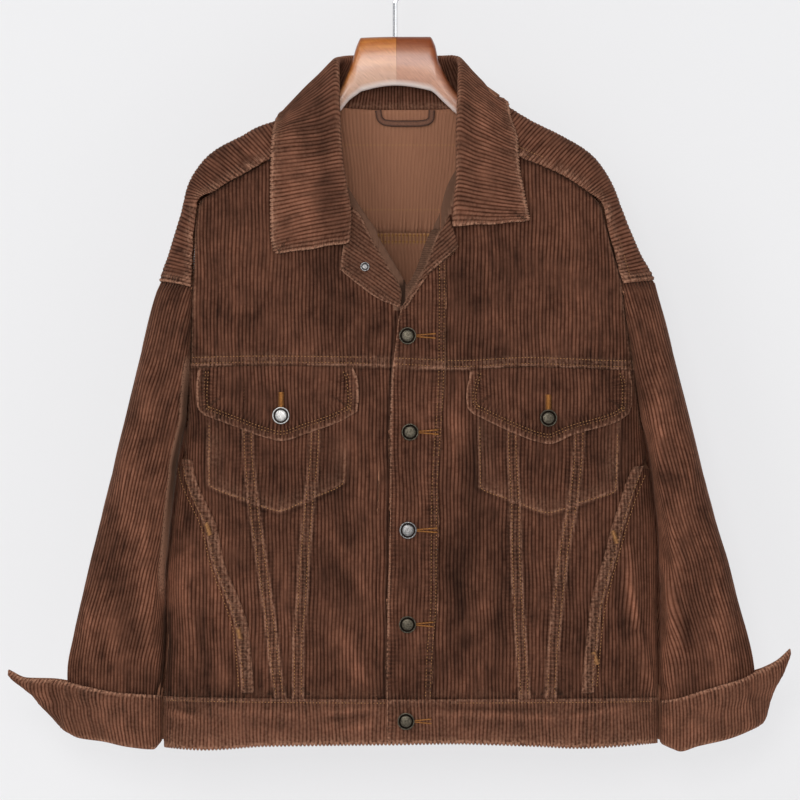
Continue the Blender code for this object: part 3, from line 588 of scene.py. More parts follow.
def carry(mesh, **values):
    """Keep values on a mesh's points, for its paint."""
    for key, numbers in values.items():
        mesh.attributes.new(key, "FLOAT", "POINT").data.foreach_set("value", numbers)


def settle(piece, solid=None):
    """Fix a piece to the jacket's one body, in place of its plain solid if it has one."""
    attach(piece, "root")
    if solid:
        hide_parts(solid)


def pick(*objects):
    """Select just these, the last as the active one."""
    bpy.ops.object.select_all(action="DESELECT")
    for one in objects:
        one.select_set(True)
    bpy.context.view_layer.objects.active = objects[-1]


def new_object(name, points, faces, *paints):
    mesh = bpy.data.meshes.new(name)
    mesh.from_pydata((np.array(points) * MM).tolist(), [], [tuple(corners) for corners in faces])
    mesh.shade_smooth()
    for paint in paints:
        mesh.materials.append(paint)
    made = bpy.data.objects.new(name, mesh)
    bpy.context.scene.collection.objects.link(made)
    return made


def reworked(piece, change):
    """Change the mesh of a piece by something that is done to all its points and faces."""
    shape = bmesh.new()
    shape.from_mesh(piece.data)
    change(shape)
    shape.to_mesh(piece.data)
    shape.free()
    return piece


def cut_cloth(
    name, form, outline, rows, relief, lift=0.0, pitch=WALE, wale=0.6, wall=CLOTH, scallop=(0, 0), lean=None,
):
    """A piece of corduroy cut to an outline: a column of points on each wale's crest, sides and valley."""
    columns = list(wale_columns(outline, rows, pitch / 4, scallop))
    c, t, rise, shift = (np.concatenate([column[k] for column in columns]) for k in range(4))
    faces = faces_between(columns)
    points, outward = form.at(c + sway(c, t) + (lean(c, t) if lean else 0), t + shift)
    stands = Relief(c)
    relief(stands, c, t, points)
    flattened = 1 - 0.45 * np.clip(stands.wear, 0, 2)
    height = stands.height + wale * rise * flattened + (lift(c, t) if callable(lift) else lift)
    points = points + outward * height[:, None]
    across, along = points[faces[:, 1]] - points[faces[:, 0]], points[faces[:, 2]] - points[faces[:, 0]]
    if np.sum(np.einsum("ij,ij->i", np.cross(across, along), outward[faces[:, 0]])) < 0:
        faces = faces[:, ::-1]
    piece = new_object(name, points, faces.tolist(), CORDUROY, WRONG_SIDE)
    mesh = piece.data
    grain = mesh.uv_layers.new(name="grain")
    corners = np.zeros(len(mesh.loops), int)
    mesh.loops.foreach_get("vertex_index", corners)
    grain.data.foreach_set("uv", np.stack([c / pitch, t / pitch], -1)[corners].ravel())
    carry(mesh, wear=stands.wear, shade=stands.shade, off=stands.puckered(), run=stands.run)
    reworked(piece, lambda shape: bmesh.ops.remove_doubles(shape, verts=shape.verts, dist=WELDED * MM))
    pick(piece)
    thick = piece.modifiers.new("thickness", "SOLIDIFY")
    thick.thickness = wall * MM
    thick.offset = -1
    thick.material_offset = 1
    thick.material_offset_rim = 0
    bpy.ops.object.modifier_apply(modifier=thick.name)
    settle(piece, name.replace("_cloth", ""))
    flat, area = flat_cut(outline)


def vector(tree, x, y, z=0.0):
    made = node(tree, "ShaderNodeCombineXYZ")
    for socket, value in zip(made.inputs, (x, y, z)):
        feed(socket, value)
    return made.outputs[0]


def stored(tree, key):
    return Dial(node(tree, "ShaderNodeAttribute", attribute_name=key).outputs["Fac"])


def parts_of(tree, output):
    split = node(tree, "ShaderNodeSeparateXYZ")
    feed(split.inputs[0], output)
    return [Dial(part) for part in split.outputs]


def raised(tree, shader, height, distance):
    """A fine relief on a shader, so many metres high."""
    ups = node(tree, "ShaderNodeBump")
    for key, value in (("Strength", 1.0), ("Distance", distance), ("Height", height)):
        feed(ups.inputs[key], value)
    feed(shader.inputs["Normal"], ups.outputs[0])


NEAR_SEAM = -0.16


def build_pile():
    """The pile of corduroy: nap streaks and tufts along each wale, valleys darkened with painted shade, wear,
    puckers with painted light and shade, and the painted light and shade of its Shade input.
    """
    tree = bpy.data.node_groups.new("corduroy pile", "ShaderNodeTree")
    numbers = ("Wales", "Along", "Wear", "Shade", "Off", "Run")
    for kind, labels in (("Float", numbers), ("Vector", ("Place",)), ("Color", ("Lit", "Deep", "Worn"))):
        for label in labels:
            tree.interface.new_socket(label, in_out="INPUT", socket_type=f"NodeSocket{kind}")
    for label, kind in (("Color", "Color"), ("Height", "Float")):
        tree.interface.new_socket(label, in_out="OUTPUT", socket_type=f"NodeSocket{kind}")
    given, put = node(tree, "NodeGroupInput"), node(tree, "NodeGroupOutput")
    wales, along, wear, shade, off, run = (Dial(given.outputs[label]) for label in numbers)
    place = given.outputs["Place"]
    whole = wales.floor()
    ridge = ((wales - whole) * math.pi).sine() ** 1.25
    streaks = noise(tree, vector(tree, wales * 0.8, along * 0.09), 1.0, 3.0)
    tufts = noise(tree, vector(tree, whole * 5.3, along * 1.9), 1.0)
    fuzz = noise(tree, vector(tree, wales * 5.0, along * 4.0), 1.0, 2.0, 0.6)
    dashes = noise(tree, vector(tree, whole * 7.7, along * 0.42), 1.0)
    grains = noise(tree, vector(tree, wales * 1.35, along * 1.25), 1.0, 1.0)
    grains = ((grains - 0.36) * 3.4).clipped()
    clouds, smudges = noise(tree, place, 13.0, 3.0), noise(tree, place, 60.0, 3.0, 0.6)
    near = math.e ** (off * NEAR_SEAM)
    wobble = noise(tree, vector(tree, run * 0.05, off * 0.02), 1.0, 1.0)
    pucker = (run * 1.5 + wobble * 14.0).sine() * near
    crest = (ridge * (tufts * 0.7 + dashes * 1.3)).clipped()
    smooth = ((noise(tree, place, 38.0, 3.0) - 0.47) * 4.0).clipped() * 0.55
    crest = crest * (1.0 - smooth) + smooth * 0.6
    colour = blend(tree, crest, given.outputs["Deep"], given.outputs["Lit"])
    level = (-0.97 + streaks * 1.5 + clouds * 1.3 + smudges * 1.2 + pucker * 0.36).at_least(0.1)
    colour = blend(tree, 1.0, colour, vector(tree, level, level, level), "MULTIPLY")
    worn = (wear * (0.15 + grains * 1.3) * (0.45 + ridge * 0.55)).clipped()
    colour = blend(tree, worn, colour, given.outputs["Worn"])
    dim = (1.0 - shade * 0.5).at_least(0.15)
    feed(put.inputs["Color"], blend(tree, 1.0, colour, vector(tree, dim, dim, dim), "MULTIPLY"))
    feed(put.inputs["Height"], fuzz * 0.32 + tufts * 0.3 + pucker + grains * (near * 0.9))
    return tree


PILE = build_pile()


def corduroy(name, lit, deep, worn, sheen):
    cloth, tree, shader = new_paint(
        name, Roughness=0.88, Specular_IOR_Level=0.08, Sheen_Weight=sheen, Sheen_Roughness=0.35,
        Sheen_Tint=(*srgb(214, 168, 138), 1),
    )
    pile = node(tree, "ShaderNodeGroup", node_tree=PILE)
    wales, along, _ = parts_of(tree, node(tree, "ShaderNodeUVMap", uv_map="grain").outputs[0])
    given = {"Wales": wales, "Along": along, "Place": node(tree, "ShaderNodeTexCoord").outputs["Object"]}
    given |= {key: stored(tree, key.lower()) for key in ("Wear", "Shade", "Off", "Run")}
    given |= {"Lit": lit, "Deep": deep, "Worn": worn}
    for key, value in given.items():
        feed(pile.inputs[key], value)
    feed(shader.inputs["Base Color"], pile.outputs["Color"])
    raised(tree, shader, pile.outputs["Height"], 0.0009)
    return cloth


# rows of stitches seen inside, over the yoke seam and on the yoke: height, half width and strength
SEAM_INSIDE = -0.282
SEWN_INSIDE = (
    (-0.2785, 0.0013, 0.8), (-0.2855, 0.0013, 0.8), (SEAM_INSIDE, 0.0040, 0.3), (-0.188, 0.0008, 0.3),
    (-0.253, 0.0008, 0.3),
)
STITCHES_INSIDE = 1745.0


def wrong_side():
    """The flat wrong side of the corduroy: lighter, with faint upright lines, rows of ochre thread, and painted
    light and shade on the puckers beside seams.
    """
    cloth, tree, shader = new_paint("corduroy wrong side", Roughness=0.95, Specular_IOR_Level=0.1)
    wales, along, _ = parts_of(tree, node(tree, "ShaderNodeUVMap", uv_map="grain").outputs[0])
    lines = noise(tree, vector(tree, wales * 1.6, along * 0.15), 1.0, 3.0)
    yarn = noise(tree, vector(tree, wales * 6.0, along * 6.0), 1.0)
    pucker = (stored(tree, "run") * 1.3).sine() * math.e ** (stored(tree, "off") * -0.12)
    level = lines * 0.4 + (wales * (2 * math.pi)).sine() * 0.13 + yarn * 0.3 + pucker * 0.35
    shades = blend(tree, (level + 0.0).clipped(), srgb(134, 91, 69), srgb(176, 126, 99))
    x, y, z = parts_of(tree, node(tree, "ShaderNodeTexCoord").outputs["Object"])
    stitches = (x * STITCHES_INSIDE).sine() * 0.5 + 0.5
    at_back = y > 0.02
    fell = (1.6 - abs(z - SEAM_INSIDE) / 0.0045).clipped() * ((1.0 - stitches) * 0.45)
    shades = blend(tree, fell * at_back, shades, srgb(92, 58, 42))
    for height, half, strength in SEWN_INSIDE:
        row = (1.6 - abs(z - height) / half).clipped() * (stitches * strength) * at_back
        shades = blend(tree, row, shades, srgb(178, 132, 80))
    feed(shader.inputs["Base Color"], shades)
    raised(tree, shader, level, 0.001)
    return cloth


# the crest colour as lit, the valley colour darkened as painted shade, the worn colour, and the sheen
CORDUROY = corduroy("brown corduroy", srgb(99, 65, 50), srgb(44, 18, 7), srgb(131, 95, 76), 0.14)
WRONG_SIDE = wrong_side()
# heights of the rows of points, closer together at the chest seam, the waist seam and the bags' points
BODY_ROWS = np.unique(np.concatenate([
    np.arange(*ends) for ends in ((-812, -140, 8.0), (-420, -398, 2.0), (-752, -738, 2.0), (-564, -524, 2.5))
]))
BACK_ROWS = np.arange(-812, -140, 14.0)
BACK_FOLDS = (
    (-150, -330, -60, -700, 22, 2.0),
    (40, -360, 10, -690, 26, 1.6),
    (190, -340, 130, -650, 20, 2.2),
    (-30, -420, -50, -730, 14, -1.5),
    (100, -480, 90, -735, 14, -1.4),
    (-195, -380, -150, -560, 14, -1.6),
)


def back_relief(stands, c, t, p):
    x, z = p[:, 0], p[:, 2]
    # painted light and shade on the folds, and painted shade below the yoke seam and above the waist seam
    stands.folds(BACK_FOLDS, p, 1.4, 0.25)
    below, above = eased(BACK_YOKE_SEAM, x) - z, z - eased(WAIST_SEAM, x)
    stands.profile(below, (("height", 0, 2.0, -0.2), ("shade", 1.0, 2.5, 0.5)))
    stands.profile(above, (("shade", 1.0, 2.5, 0.35),))
    stands.seam(np.abs(below), x + 300)
    stands.seam(np.abs(above), x + 300)


cut_cloth(
    "back_panel_cloth", FORMS[BACK],
    panel_outline(body_side(RIGHT), body_side(LEFT), seam(WAIST_SEAM), seam(BACK_YOKE_SEAM), BACK),
    BACK_ROWS, back_relief,
)


# The front panels: chest pieces above the level seam, and under them a centre piece, a narrow dart
# piece that tapers to the waist, an outer piece and a side piece, joined by lapped double-sewn seams.
OUTER_DART = {
    RIGHT: ((-400, -147), (-482, -147), (-544, -142), (-601, -134), (-672, -124), (-708, -120), (-760, -112)),
    LEFT: ((-400, 184), (-481, 184), (-544, 178), (-601, 168), (-649, 163), (-700, 158), (-760, 155)),
}
INNER_DART = {
    RIGHT: ((-400, -79), (-487, -80), (-551, -86), (-610, -91), (-646, -93), (-690, -97), (-760, -97)),
    LEFT: ((-400, 117), (-481, 117), (-548, 120), (-604, 121), (-675, 125), (-760, 131)),
}
POCKET_MOUTH = {
    RIGHT: ((-485, -211), (-521, -208), (-540, -202), (-574, -187), (-610, -179), (-639, -168), (-678, -156),
            (-760, -149)),
    LEFT: ((-497, 253), (-536, 237), (-567, 227), (-600, 218), (-621, 212), (-662, 203), (-703, 199),
           (-760, 194)),
}
BAND_SEAM = {
    RIGHT: ((-296, -17), (-420, -17), (-800, -19)),
    LEFT: ((-262, 51), (-412, 50), (-543, 43), (-650, 42), (-704, 38), (-800, 35)),
}
BUTTONHOLE_EDGE = ((-275, 45), (-286, 40), (-312, 30), (-345, 11), (-362, 3), (-414, -2), (-445, -4),
                   (-650, -7), (-745, -9), (-800, -7))
FACING_EDGE = {
    RIGHT: ((-178, -77), (-205, -60), (-232, -47), (-252, -34.5), (-263, -27), (-280, -17), (-420, -17)),
    LEFT: ((-188, 86), (-205, 68), (-230, 53), (-262, 43), (-274, 38), (-277, 46), (-420, 45)),
}
ROLL_EDGE = {
    RIGHT: ((-178, -77), (-205, -60), (-232, -53), (-253, -43), (-263, -35), (-295, -17), (-315, -5),
            (-338, 7)),
    LEFT: ((-188, 66), (-230, 60), (-260, 53), (-286, 40), (-312, 30), (-345, 11)),
}
FACING = 8
ROLL_ENDS = -352
YOKE_SEAM = {
    RIGHT: ((-210, -255), (-196, -246), (-164, -226), (-144, -215), (-123, -203), (-77, -178), (-60, -170)),
    LEFT: ((70, -180), (92, -188), (125, -202), (138, -207), (170, -222), (189, -234), (206, -248),
           (215, -255)),
}
CHEST_SEAM = ((-210, -412), (-135, -410.5), (-15, -412), (65, -415), (133, -412), (228, -415), (245, -415))
POCKET_BAG = {
    RIGHT: ((-188, -462), (-188, -530), (-187, -532), (-147, -548), (-116, -558), (-87, -547),
            (-49, -527), (-48, -497)),
    LEFT: ((82, -462), (83, -532), (118, -548), (153.5, -560), (184, -550), (222.5, -536), (225, -470)),
}
FRONT_FOLDS = (
    (232, -590, 243, -675, 7, 2.2),
    (243, -675, 256, -735, 6, 1.8),
    (222, -600, 232, -690, 8, -1.6),
    (96, -580, 74, -735, 13, 1.5),
    (60, -590, 66, -700, 10, -1.6),
    (108, -640, 104, -735, 8, -1.3),
    (-62, -575, -20, -650, 11, 1.2),
    (-72, -640, -30, -735, 10, 1.4),
    (-50, -560, -40, -640, 9, -1.2),
    (-178, -600, -172, -735, 9, 1.2),
    (-212, -560, -205, -720, 9, 1.3),
    (-196, -620, -190, -735, 7, -1.2),
    (-110, -590, -108, -700, 9, 1.0),
    (150, -600, 144, -720, 9, 1.2),
    (-170, -270, -160, -400, 16, 0.9),
    (-95, -320, -80, -400, 14, 0.9),
    (90, -270, 100, -400, 15, 1.0),
    (175, -280, 190, -400, 16, 1.0),
    (-40, -350, -28, -405, 8, 0.9),
    (-60, -440, -28, -560, 9, 1.2),
    (60, -430, 64, -540, 8, 1.1),
)

# painted shade and painted light in soft patches and lines on the fronts: a line's two ends, its half width and
# its depth of tone
FRONT_SHADES = (
    (229, -612, 247, -704, 2.6, -0.6),
    (235, -612, 252, -704, 3.0, 0.4),
    (-62, -430, -58, -735, 22, 0.42),
    (-74, -255, -68, -400, 26, 0.4),
    (74, -300, 84, -410, 34, 0.42),
    (76, -430, 82, -735, 20, 0.6),
    (-140, -530, -150, -620, 16, 0.25),
    (110, -560, 104, -690, 10, 0.3),
    (-195, -285, -196, -400, 9, -0.45),
    (-112, -425, -84, -440, 10, -0.35),
    (150, -380, 180, -390, 16, -0.25),
    (244, -440, 246, -520, 8, -0.4),
    (18, -400, 20, -450, 12, 0.3),
    (20, -490, 18, -560, 12, 0.3),
    (220, -600, 212, -735, 22, -0.3),
    (-185, -560, -172, -735, 22, -0.28),
    (-158, -655, -140, -738, 12, -0.4),
    (-84, -560, -30, -620, 9, -0.35),
    (-70, -600, -18, -668, 9, 0.3),
    (-64, -660, -30, -735, 11, -0.35),
    (-60, -500, -30, -560, 10, 0.25),
    (62, -440, 58, -560, 8, -0.25),
    (100, -500, 96, -600, 8, -0.25),
    (-126, -640, -128, -735, 8, -0.3),
    (10, -590, 12, -650, 9, 0.3),
    (28, -425, 32, -460, 9, -0.25),
    (26, -515, 30, -560, 9, -0.25),
    (231, -618, 246, -686, 2.2, -0.75),
    (245, -684, 254, -712, 2.2, -0.65),
    (237, -622, 252, -690, 3.0, 0.45),
    (48, -692, 100, -642, 5, -0.35),
    (54, -706, 110, -656, 5, 0.4),
    (46, -656, 92, -612, 5, -0.3),
    (60, -732, 102, -702, 6, -0.35),
    (86, -560, 78, -640, 6, -0.3),
    (-26, -560, -64, -618, 4, 0.3),
    (-30, -690, -70, -728, 5, 0.3),
)


def drawn(rows, start, end, step=12.0):
    """Points of an upright seam, x at each z, from one height to another."""
    heights = np.linspace(start, end, max(2, int(abs(end - start) / step)))
    return [(float(eased(rows, z)), z) for z in heights]


CHEST_LEVEL = -413
FRONT_BANDS = tuple(
    (drawn(rows, CHEST_LEVEL, -744), 5.6, 1.5, 0.9, seed)
    for seed, rows in enumerate((OUTER_DART[RIGHT], INNER_DART[RIGHT], INNER_DART[LEFT], OUTER_DART[LEFT]), 1)
)
# the chest seam: painted shade just below it and beyond its second row, and a painted highlight on its first
# ridge
CHEST_PROFILE = (
    ("height", 1.2, 1.5, 1.0), ("height", 6, 3.6, 0.45), ("height", 9.4, 1.0, -0.4),
    ("wear", 1.2, 1.2, 1.2, 0.5), ("wear", 6, 4.0, 0.5, 0.4), ("wear", 9.6, 1.2, 0.4, 0.3),
    ("shade", -1.6, 1.5, 0.8), ("shade", 11.4, 1.3, 0.3), ("shade", 1.4, 1.1, -0.5),
)
# so much wear that the wales lie flat, as on the smooth facing
PLAIN = 12
SLIT_FROM = -648
FLAP_COVERS = -455


def pocket_bag_relief(stands, which, x, z):
    """The bag of the chest pocket, sewn on behind, whose edge is pressed through and worn, painted lighter
    along it and in painted shade outside it and deep inside.
    """
    distance, side, run = beside(POCKET_BAG[which], x, z)
    inner = np.where(side > 0, distance, -distance)
    raised_part = 1 / (1 + np.exp(-(inner + 0.5) * 1.5))
    lower = 1 / (1 + np.exp((z - CHEST_LEVEL) * 1.5))
    clear_of_flap = np.clip((FLAP_COVERS - z) / 25, 0, 1)
    swelling = (("height", 1.5, 2.2, 0.9), ("height", 0, 26, 0.35 * raised_part))
    stands.profile(inner, swelling, where=lower * clear_of_flap)
    stands.profile(inner, (
        ("wear", 1.6, 1.4, 0.75, 0.4), ("wear", 7, 8, 0.26 * raised_part, 0.4), ("shade", 1.6, 1.2, -0.45),
        ("shade", -2.4, 2.0, 0.6), ("shade", 22, 9, 0.35 * raised_part, 0.0),
    ), wander(run, 5.0 + which), clear_of_flap)


def slit_beside_sleeve(which, z):
    """Where the right sleeve hangs clear of the body, as a share."""
    return np.clip((SLIT_FROM - z) / 12, 0, 1) * (which == RIGHT)


def front_edge_relief(stands, which, x, z):
    """One side of the front: the facing inside its roll, its yoke seam, armhole and side, with their painted
    light and shade.
    """
    past_roll = which * (eased(ROLL_EDGE[which], z) - x)
    # a painted shadow beside the edge of the buttonhole band that lies over this one
    stands.profile(eased(BUTTONHOLE_EDGE, z) - x, (("shade", 2.2, 1.8, 0.6),), where=z < -345)
    # the facing inside the roll is laid flat and darkened with painted shade
    facing = np.clip(past_roll + 1, 0, 1) * (z > ROLL_ENDS) * (which * (x - 4) > -6) * (past_roll < 14)
    stands.wear += PLAIN * facing
    stands.shade += 0.88 * facing
    # painted shade under the yoke seam
    below = eased(YOKE_SEAM[which], x) - z
    stands.profile(below, (("height", 0, 1.6, -0.7), ("shade", 0.8, 2.0, 0.75)), where=which * x > 40)
    edge = which * (eased(ARMHOLE[which], z) - x)
    armhole_edge = (("wear", 1.6, 2.4, 0.6, 0.4), ("height", 0, 1.6, -1.6))
    stands.profile(edge, armhole_edge, wander(z, 2.0), z > UNDERARM)
    # painted light along the join with the sleeve, and painted shade in the slit where the sleeve hangs clear
    to_side = which * (body_side(which)(-600) - x)
    slit = slit_beside_sleeve(which, z)
    stands.profile(to_side, (("shade", 0, 10, -1.1),), where=(z < UNDERARM) * (1 - slit))
    stands.profile(to_side, (("shade", 0, 3, 1.2),), where=slit)


def front_relief(stands, c, t, p):
    x, z = p[:, 0], p[:, 2]
    # painted light and shade on the folds and in soft patches, and painted shade beside the seams
    stands.folds(FRONT_FOLDS, p, 2.1, 0.5)
    stands.shade += 1.5 * creases(FRONT_SHADES, x, z)
    less_under_flaps = 1 - 0.45 * bump(z + 495, 45)
    for line, half, rise, worn, seed in FRONT_BANDS:
        distance, _, run = beside(line, x, z)
        stands.band(np.where(z > CHEST_LEVEL, 60, distance), run, half, rise, worn * less_under_flaps, seed)
    for which in (RIGHT, LEFT):
        pocket_bag_relief(stands, which, x, z)
    above_chest = z - eased(CHEST_SEAM, x)
    stands.profile(above_chest, CHEST_PROFILE, wander(x, 9.0))
    stands.seam(np.abs(above_chest - 5), x + 300)
    above_waist = z - eased(WAIST_SEAM, x)
    stands.height -= 2.2 * np.clip(-above_waist / 2, 0, 1)
    stands.profile(above_waist, (("shade", 1.5, 2.5, 0.35), ("wear", 4, 2.0, 0.3, 0.0)), wander(x, 4.0))
    stands.seam(np.abs(above_waist), x + 300)
    for which in (RIGHT, LEFT):
        front_edge_relief(stands, which, x, z)


WEDGE_PITCH = 11.5


def band_relief(stands, c, t, p):
    """The buttonhole band, whose seam has small slanting puckers beside it, raised and given painted light and
    shade, and worn nap along it.
    """
    front_relief(stands, c, t, p)
    x, z = p[:, 0], p[:, 2]
    to_seam = eased(BAND_SEAM[LEFT], z) - x
    wedges = np.sin(z * 2 * math.pi / WEDGE_PITCH + 0.8 * np.sin(z * 0.05))
    stands.profile(to_seam, (
        ("height", 5.5, 1.1, -0.5), ("height", 8, 9, 0.7 * wedges), ("shade", 8, 7, -0.3 * wedges),
        ("shade", 6.5, 1.2, 0.3), ("wear", 2, 4.0, 0.3, 0.3),
    ), wander(z, 6.0))
    stands.seam(np.abs(to_seam - 3), z + 800)
    stands.edge(x - eased(BUTTONHOLE_EDGE, z), z + 800, 1.1, 7.0)


chest, waist = seam(CHEST_SEAM), seam(WAIST_SEAM)
UNDER = 5
SIDE_PIECE_SHARE = 0.7
for which, name in SIDES:
    outer, inner = seam(OUTER_DART[which]), seam(INNER_DART[which])
    band, mouth, side = seam(BAND_SEAM[which]), seam(POCKET_MOUTH[which]), body_side(which)
    mouth_top = POCKET_MOUTH[which][0][0]
    under = UNDER if which == LEFT else 0
    bottom, top = corner(mouth, waist, -700), corner(side, chest, -400)
    side_top = bottom + (top - bottom) * SIDE_PIECE_SHARE

    def side_then_mouth(z):
        return side(z) if z > mouth_top else which * min(which * side(z), which * mouth(z))

    pieces = (
        ("front_chest", side, seam(FACING_EDGE[which]), chest, seam(YOKE_SEAM[which])),
        ("front_centre", inner, lambda z: band(z) - under, lambda x: waist(x) - under, chest),
        ("front_dart", outer, inner, waist, chest),
        ("front_outer", side_then_mouth, outer, waist, chest),
        ("front_side", side, mouth, waist, lambda x: side_top),
    )
    for piece, away, inward, low, high in pieces:
        right, left = (away, inward) if which == RIGHT else (inward, away)
        outline = panel_outline(right, left, low, high)
        cut_cloth(f"{piece}_{name}_cloth", FORMS[FRONT], outline, BODY_ROWS, front_relief)


# The two front bands: the one with the buttons lies under, and the one with the buttonholes over it.
BUTTON_EDGE = ((-300, 32), (-800, 32))
roll = seam(((-20, -276), (-17, -281), (10, -328), (34, -369)))
cut_cloth(
    "button_band_cloth", FORMS[FRONT], panel_outline(seam(BAND_SEAM[RIGHT]), seam(BUTTON_EDGE), waist, roll),
    BODY_ROWS, front_relief,
)
BAND_ROWS = np.arange(-812, -140, 3.0)


def buttonhole_edge(z):
    """The free edge of the band, which runs on as a narrow facing inside the roll of the lapel."""
    return float(eased(BUTTONHOLE_EDGE, z)) - FACING * min(1, max(0, (z - ROLL_ENDS) / 18))


cut_cloth(
    "buttonhole_band_cloth", FORMS[FRONT],
    panel_outline(buttonhole_edge, seam(BAND_SEAM[LEFT]), waist, lambda x: -275.0),
    BAND_ROWS, band_relief, lift=LAYER,
)


# The waistband: three doubled strips of corduroy round the hem, whose cut edge is turned so that
# each wale makes a small scallop along the bottom.
HEM = ((-240, -791), (-193, -794), (-125, -790), (-11, -788.5), (52, -787.5), (141, -790), (184, -792),
       (270, -787))
BACK_HEM = ((-240, -791), (16, -786), (270, -787))
WAIST_FOLDS = (
    (40, -758, 118, -760, 2.6, 1.2),
    (112, -760, 178, -764, 2.8, 1.3),
    (172, -763, 236, -752, 2.8, 1.2),
    (44, -753.5, 150, -755, 2.4, -1.1),
    (168, -757, 206, -753, 2.2, -0.9),
    (60, -768, 150, -770, 4.0, -0.6),
    (-229, -758, -192, -766, 3.4, 1.2),
    (-229, -751, -198, -758, 2.6, -1.1),
    (-70, -759, -14, -752, 2.6, 1.2),
    (-84, -766, -20, -759, 2.8, -1.0),
    (-188, -756, -90, -760, 3.0, 0.7),
    (-60, -776, -16, -770, 3.0, 0.7),
    (-150, -768, -100, -772, 4.0, -0.6),
)


WAISTBAND_PROFILE = (
    ("height", 2.0, 1.8, 0.9), ("height", 5.2, 1.0, -0.35),
    ("wear", 1.8, 1.8, 0.6, 0.4), ("shade", 6.2, 1.4, 0.4),
)


def waistband_relief(stands, c, t, p):
    x, z = p[:, 0], p[:, 2]
    # the waistband is painted lighter, with painted shade below its seam and painted light and shade on its
    # folds
    stands.shade -= 0.66
    stands.wear += 0.16
    below = eased(WAIST_SEAM, x) - z
    stands.profile(below, WAISTBAND_PROFILE, wander(x, 1.0))
    stands.profile(below, (("wear", 42, 6, 0.25, 0.0),), wander(x, 8.0))
    stands.folds(WAIST_FOLDS, p, 1.0, 1.0)
    to_hem = z - np.where(p[:, 1] < 0, eased(HEM, x), eased(BACK_HEM, x))
    stands.profile(to_hem, (("wear", 0.4, 1.9, 1.2), ("height", 0, 1.6, -0.9)))
    stands.seam(np.abs(below - 2), x + 300)


def opening_relief(stands, c, t, p):
    waistband_relief(stands, c, t, p)
    stands.edge(p[:, 0] - eased(BUTTONHOLE_EDGE, p[:, 2]), p[:, 2] + 800, 0.9, 2.0)


def over_opening(c, t):
    """How far the left length is lifted where it lies over the right one."""
    return LAYER * eased(((-20, 1), (36, 1), (70, 0), (300, 0)), c)


for name, side, right, left, hem, relief, lift in (
    ("right", FRONT, body_side(RIGHT), seam(BUTTON_EDGE), HEM, waistband_relief, 0.0),
    ("left", FRONT, seam(BUTTONHOLE_EDGE), body_side(LEFT), HEM, opening_relief, over_opening),
    ("back", BACK, body_side(RIGHT), body_side(LEFT), BACK_HEM, waistband_relief, 0.0),
):
    cut_cloth(
        f"waistband_{name}_cloth", FORMS[side], panel_outline(right, left, seam(hem), waist, side),
        np.arange(-796, -740, 3.0), relief, lift=lift, scallop=(1.9, 0), wall=1.9,
    )


# The back yoke: one piece over the upper back and both shoulders, cut so that its wales run down over
# the shoulders to the front, where a thick double-sewn seam joins it to the chest pieces.
WING_ROWS = {
    RIGHT: ((-332.6, -326.7, -332.6), (-312, -306, -315), (-284, -277, -297), (-262, -254, -284)),
    LEFT: ((-329.2, -325, -329.2), (-310, -303, -312), (-284, -277, -298), (-264, -254, -286)),
}
CORNER_RIDGE = {RIGHT: -244, LEFT: -243}
SHOULDER_ROWS = {
    RIGHT: ((-182, -222, -182), (-164, -205, -160), (-144, -190, -140), (-123, -177, -118), (-100, -164, -98),
            (-77.5, -153, -80)),
    LEFT: ((192, -220, 196), (170, -197, 173), (147, -183, 150), (125, -172, 130), (108, -163, 114),
           (92, -153.5, 98)),
}
NECK_ROWS = {
    RIGHT: (((-79.5, -167), -149.5, -77), ((-82.5, -156), -147, -73), ((-86, -144.8), None, -68),
            ((-74, -147.5), None, -58.5), ((-58, -149.5), None, -46), ((-38, -151.5), None, -30),
            ((-18, -152.5), None, -14.3)),
    LEFT: (((96, -176), -150, 91), ((100, -160), -147, 87), ((104, -144.8), None, 82),
            ((92, -147.5), None, 72.5),
           ((76, -149.5), None, 60), ((58, -151.3), None, 45.7), ((38, -152.3), None, 30)),
}
YOKE_SAMPLES = 8
ROPE_WIDTH = 2.0


def yoke_rows(which):
    side, front_seam, back_seam = body_side(which), seam(YOKE_SEAM[which]), seam(BACK_YOKE_SEAM)
    rows = [((side(front), front), ridge, (side(back), back)) for front, ridge, back in WING_ROWS[which]]
    front_z, back_z = corner(side, front_seam, -250), corner(side, back_seam, -280)
    rows.append(((side(front_z), front_z), CORNER_RIDGE[which], (side(back_z), back_z)))
    rows += [((x, front_seam(x)), ridge, (back, back_seam(back))) for x, ridge, back in SHOULDER_ROWS[which]]
    rows += [(start, ridge, (back, back_seam(back))) for start, ridge, back in NECK_ROWS[which]]
    return rows


def yoke_line(which, start, ridge_z, end):
    """A line of the yoke from its back seam up, and over the shoulder's ridge if it has a front."""
    sweep = np.linspace(0, math.pi / 2, 60)[:, None]
    first, last = np.array(start, float), np.array(end, float)
    parts = []
    if which is not None:
        centre, half, _ = ring(ridge_z, FRONT)
        ridge = np.array([centre + which * half, ridge_z])
        x, z = (first + (ridge - first) * np.sin(sweep)).T
        parts.append(np.stack([x, -body_depth(x, z, FRONT), z], -1))
        first = ridge
    x, z = (first + (last - first) * (1 - np.cos(sweep))).T
    parts.append(np.stack([x, body_depth(x, z, BACK), z], -1))
    return np.concatenate(parts)[::-1]


def lengths(line):
    return np.concatenate([[0], np.cumsum(np.linalg.norm(np.diff(line, axis=0), axis=1))])


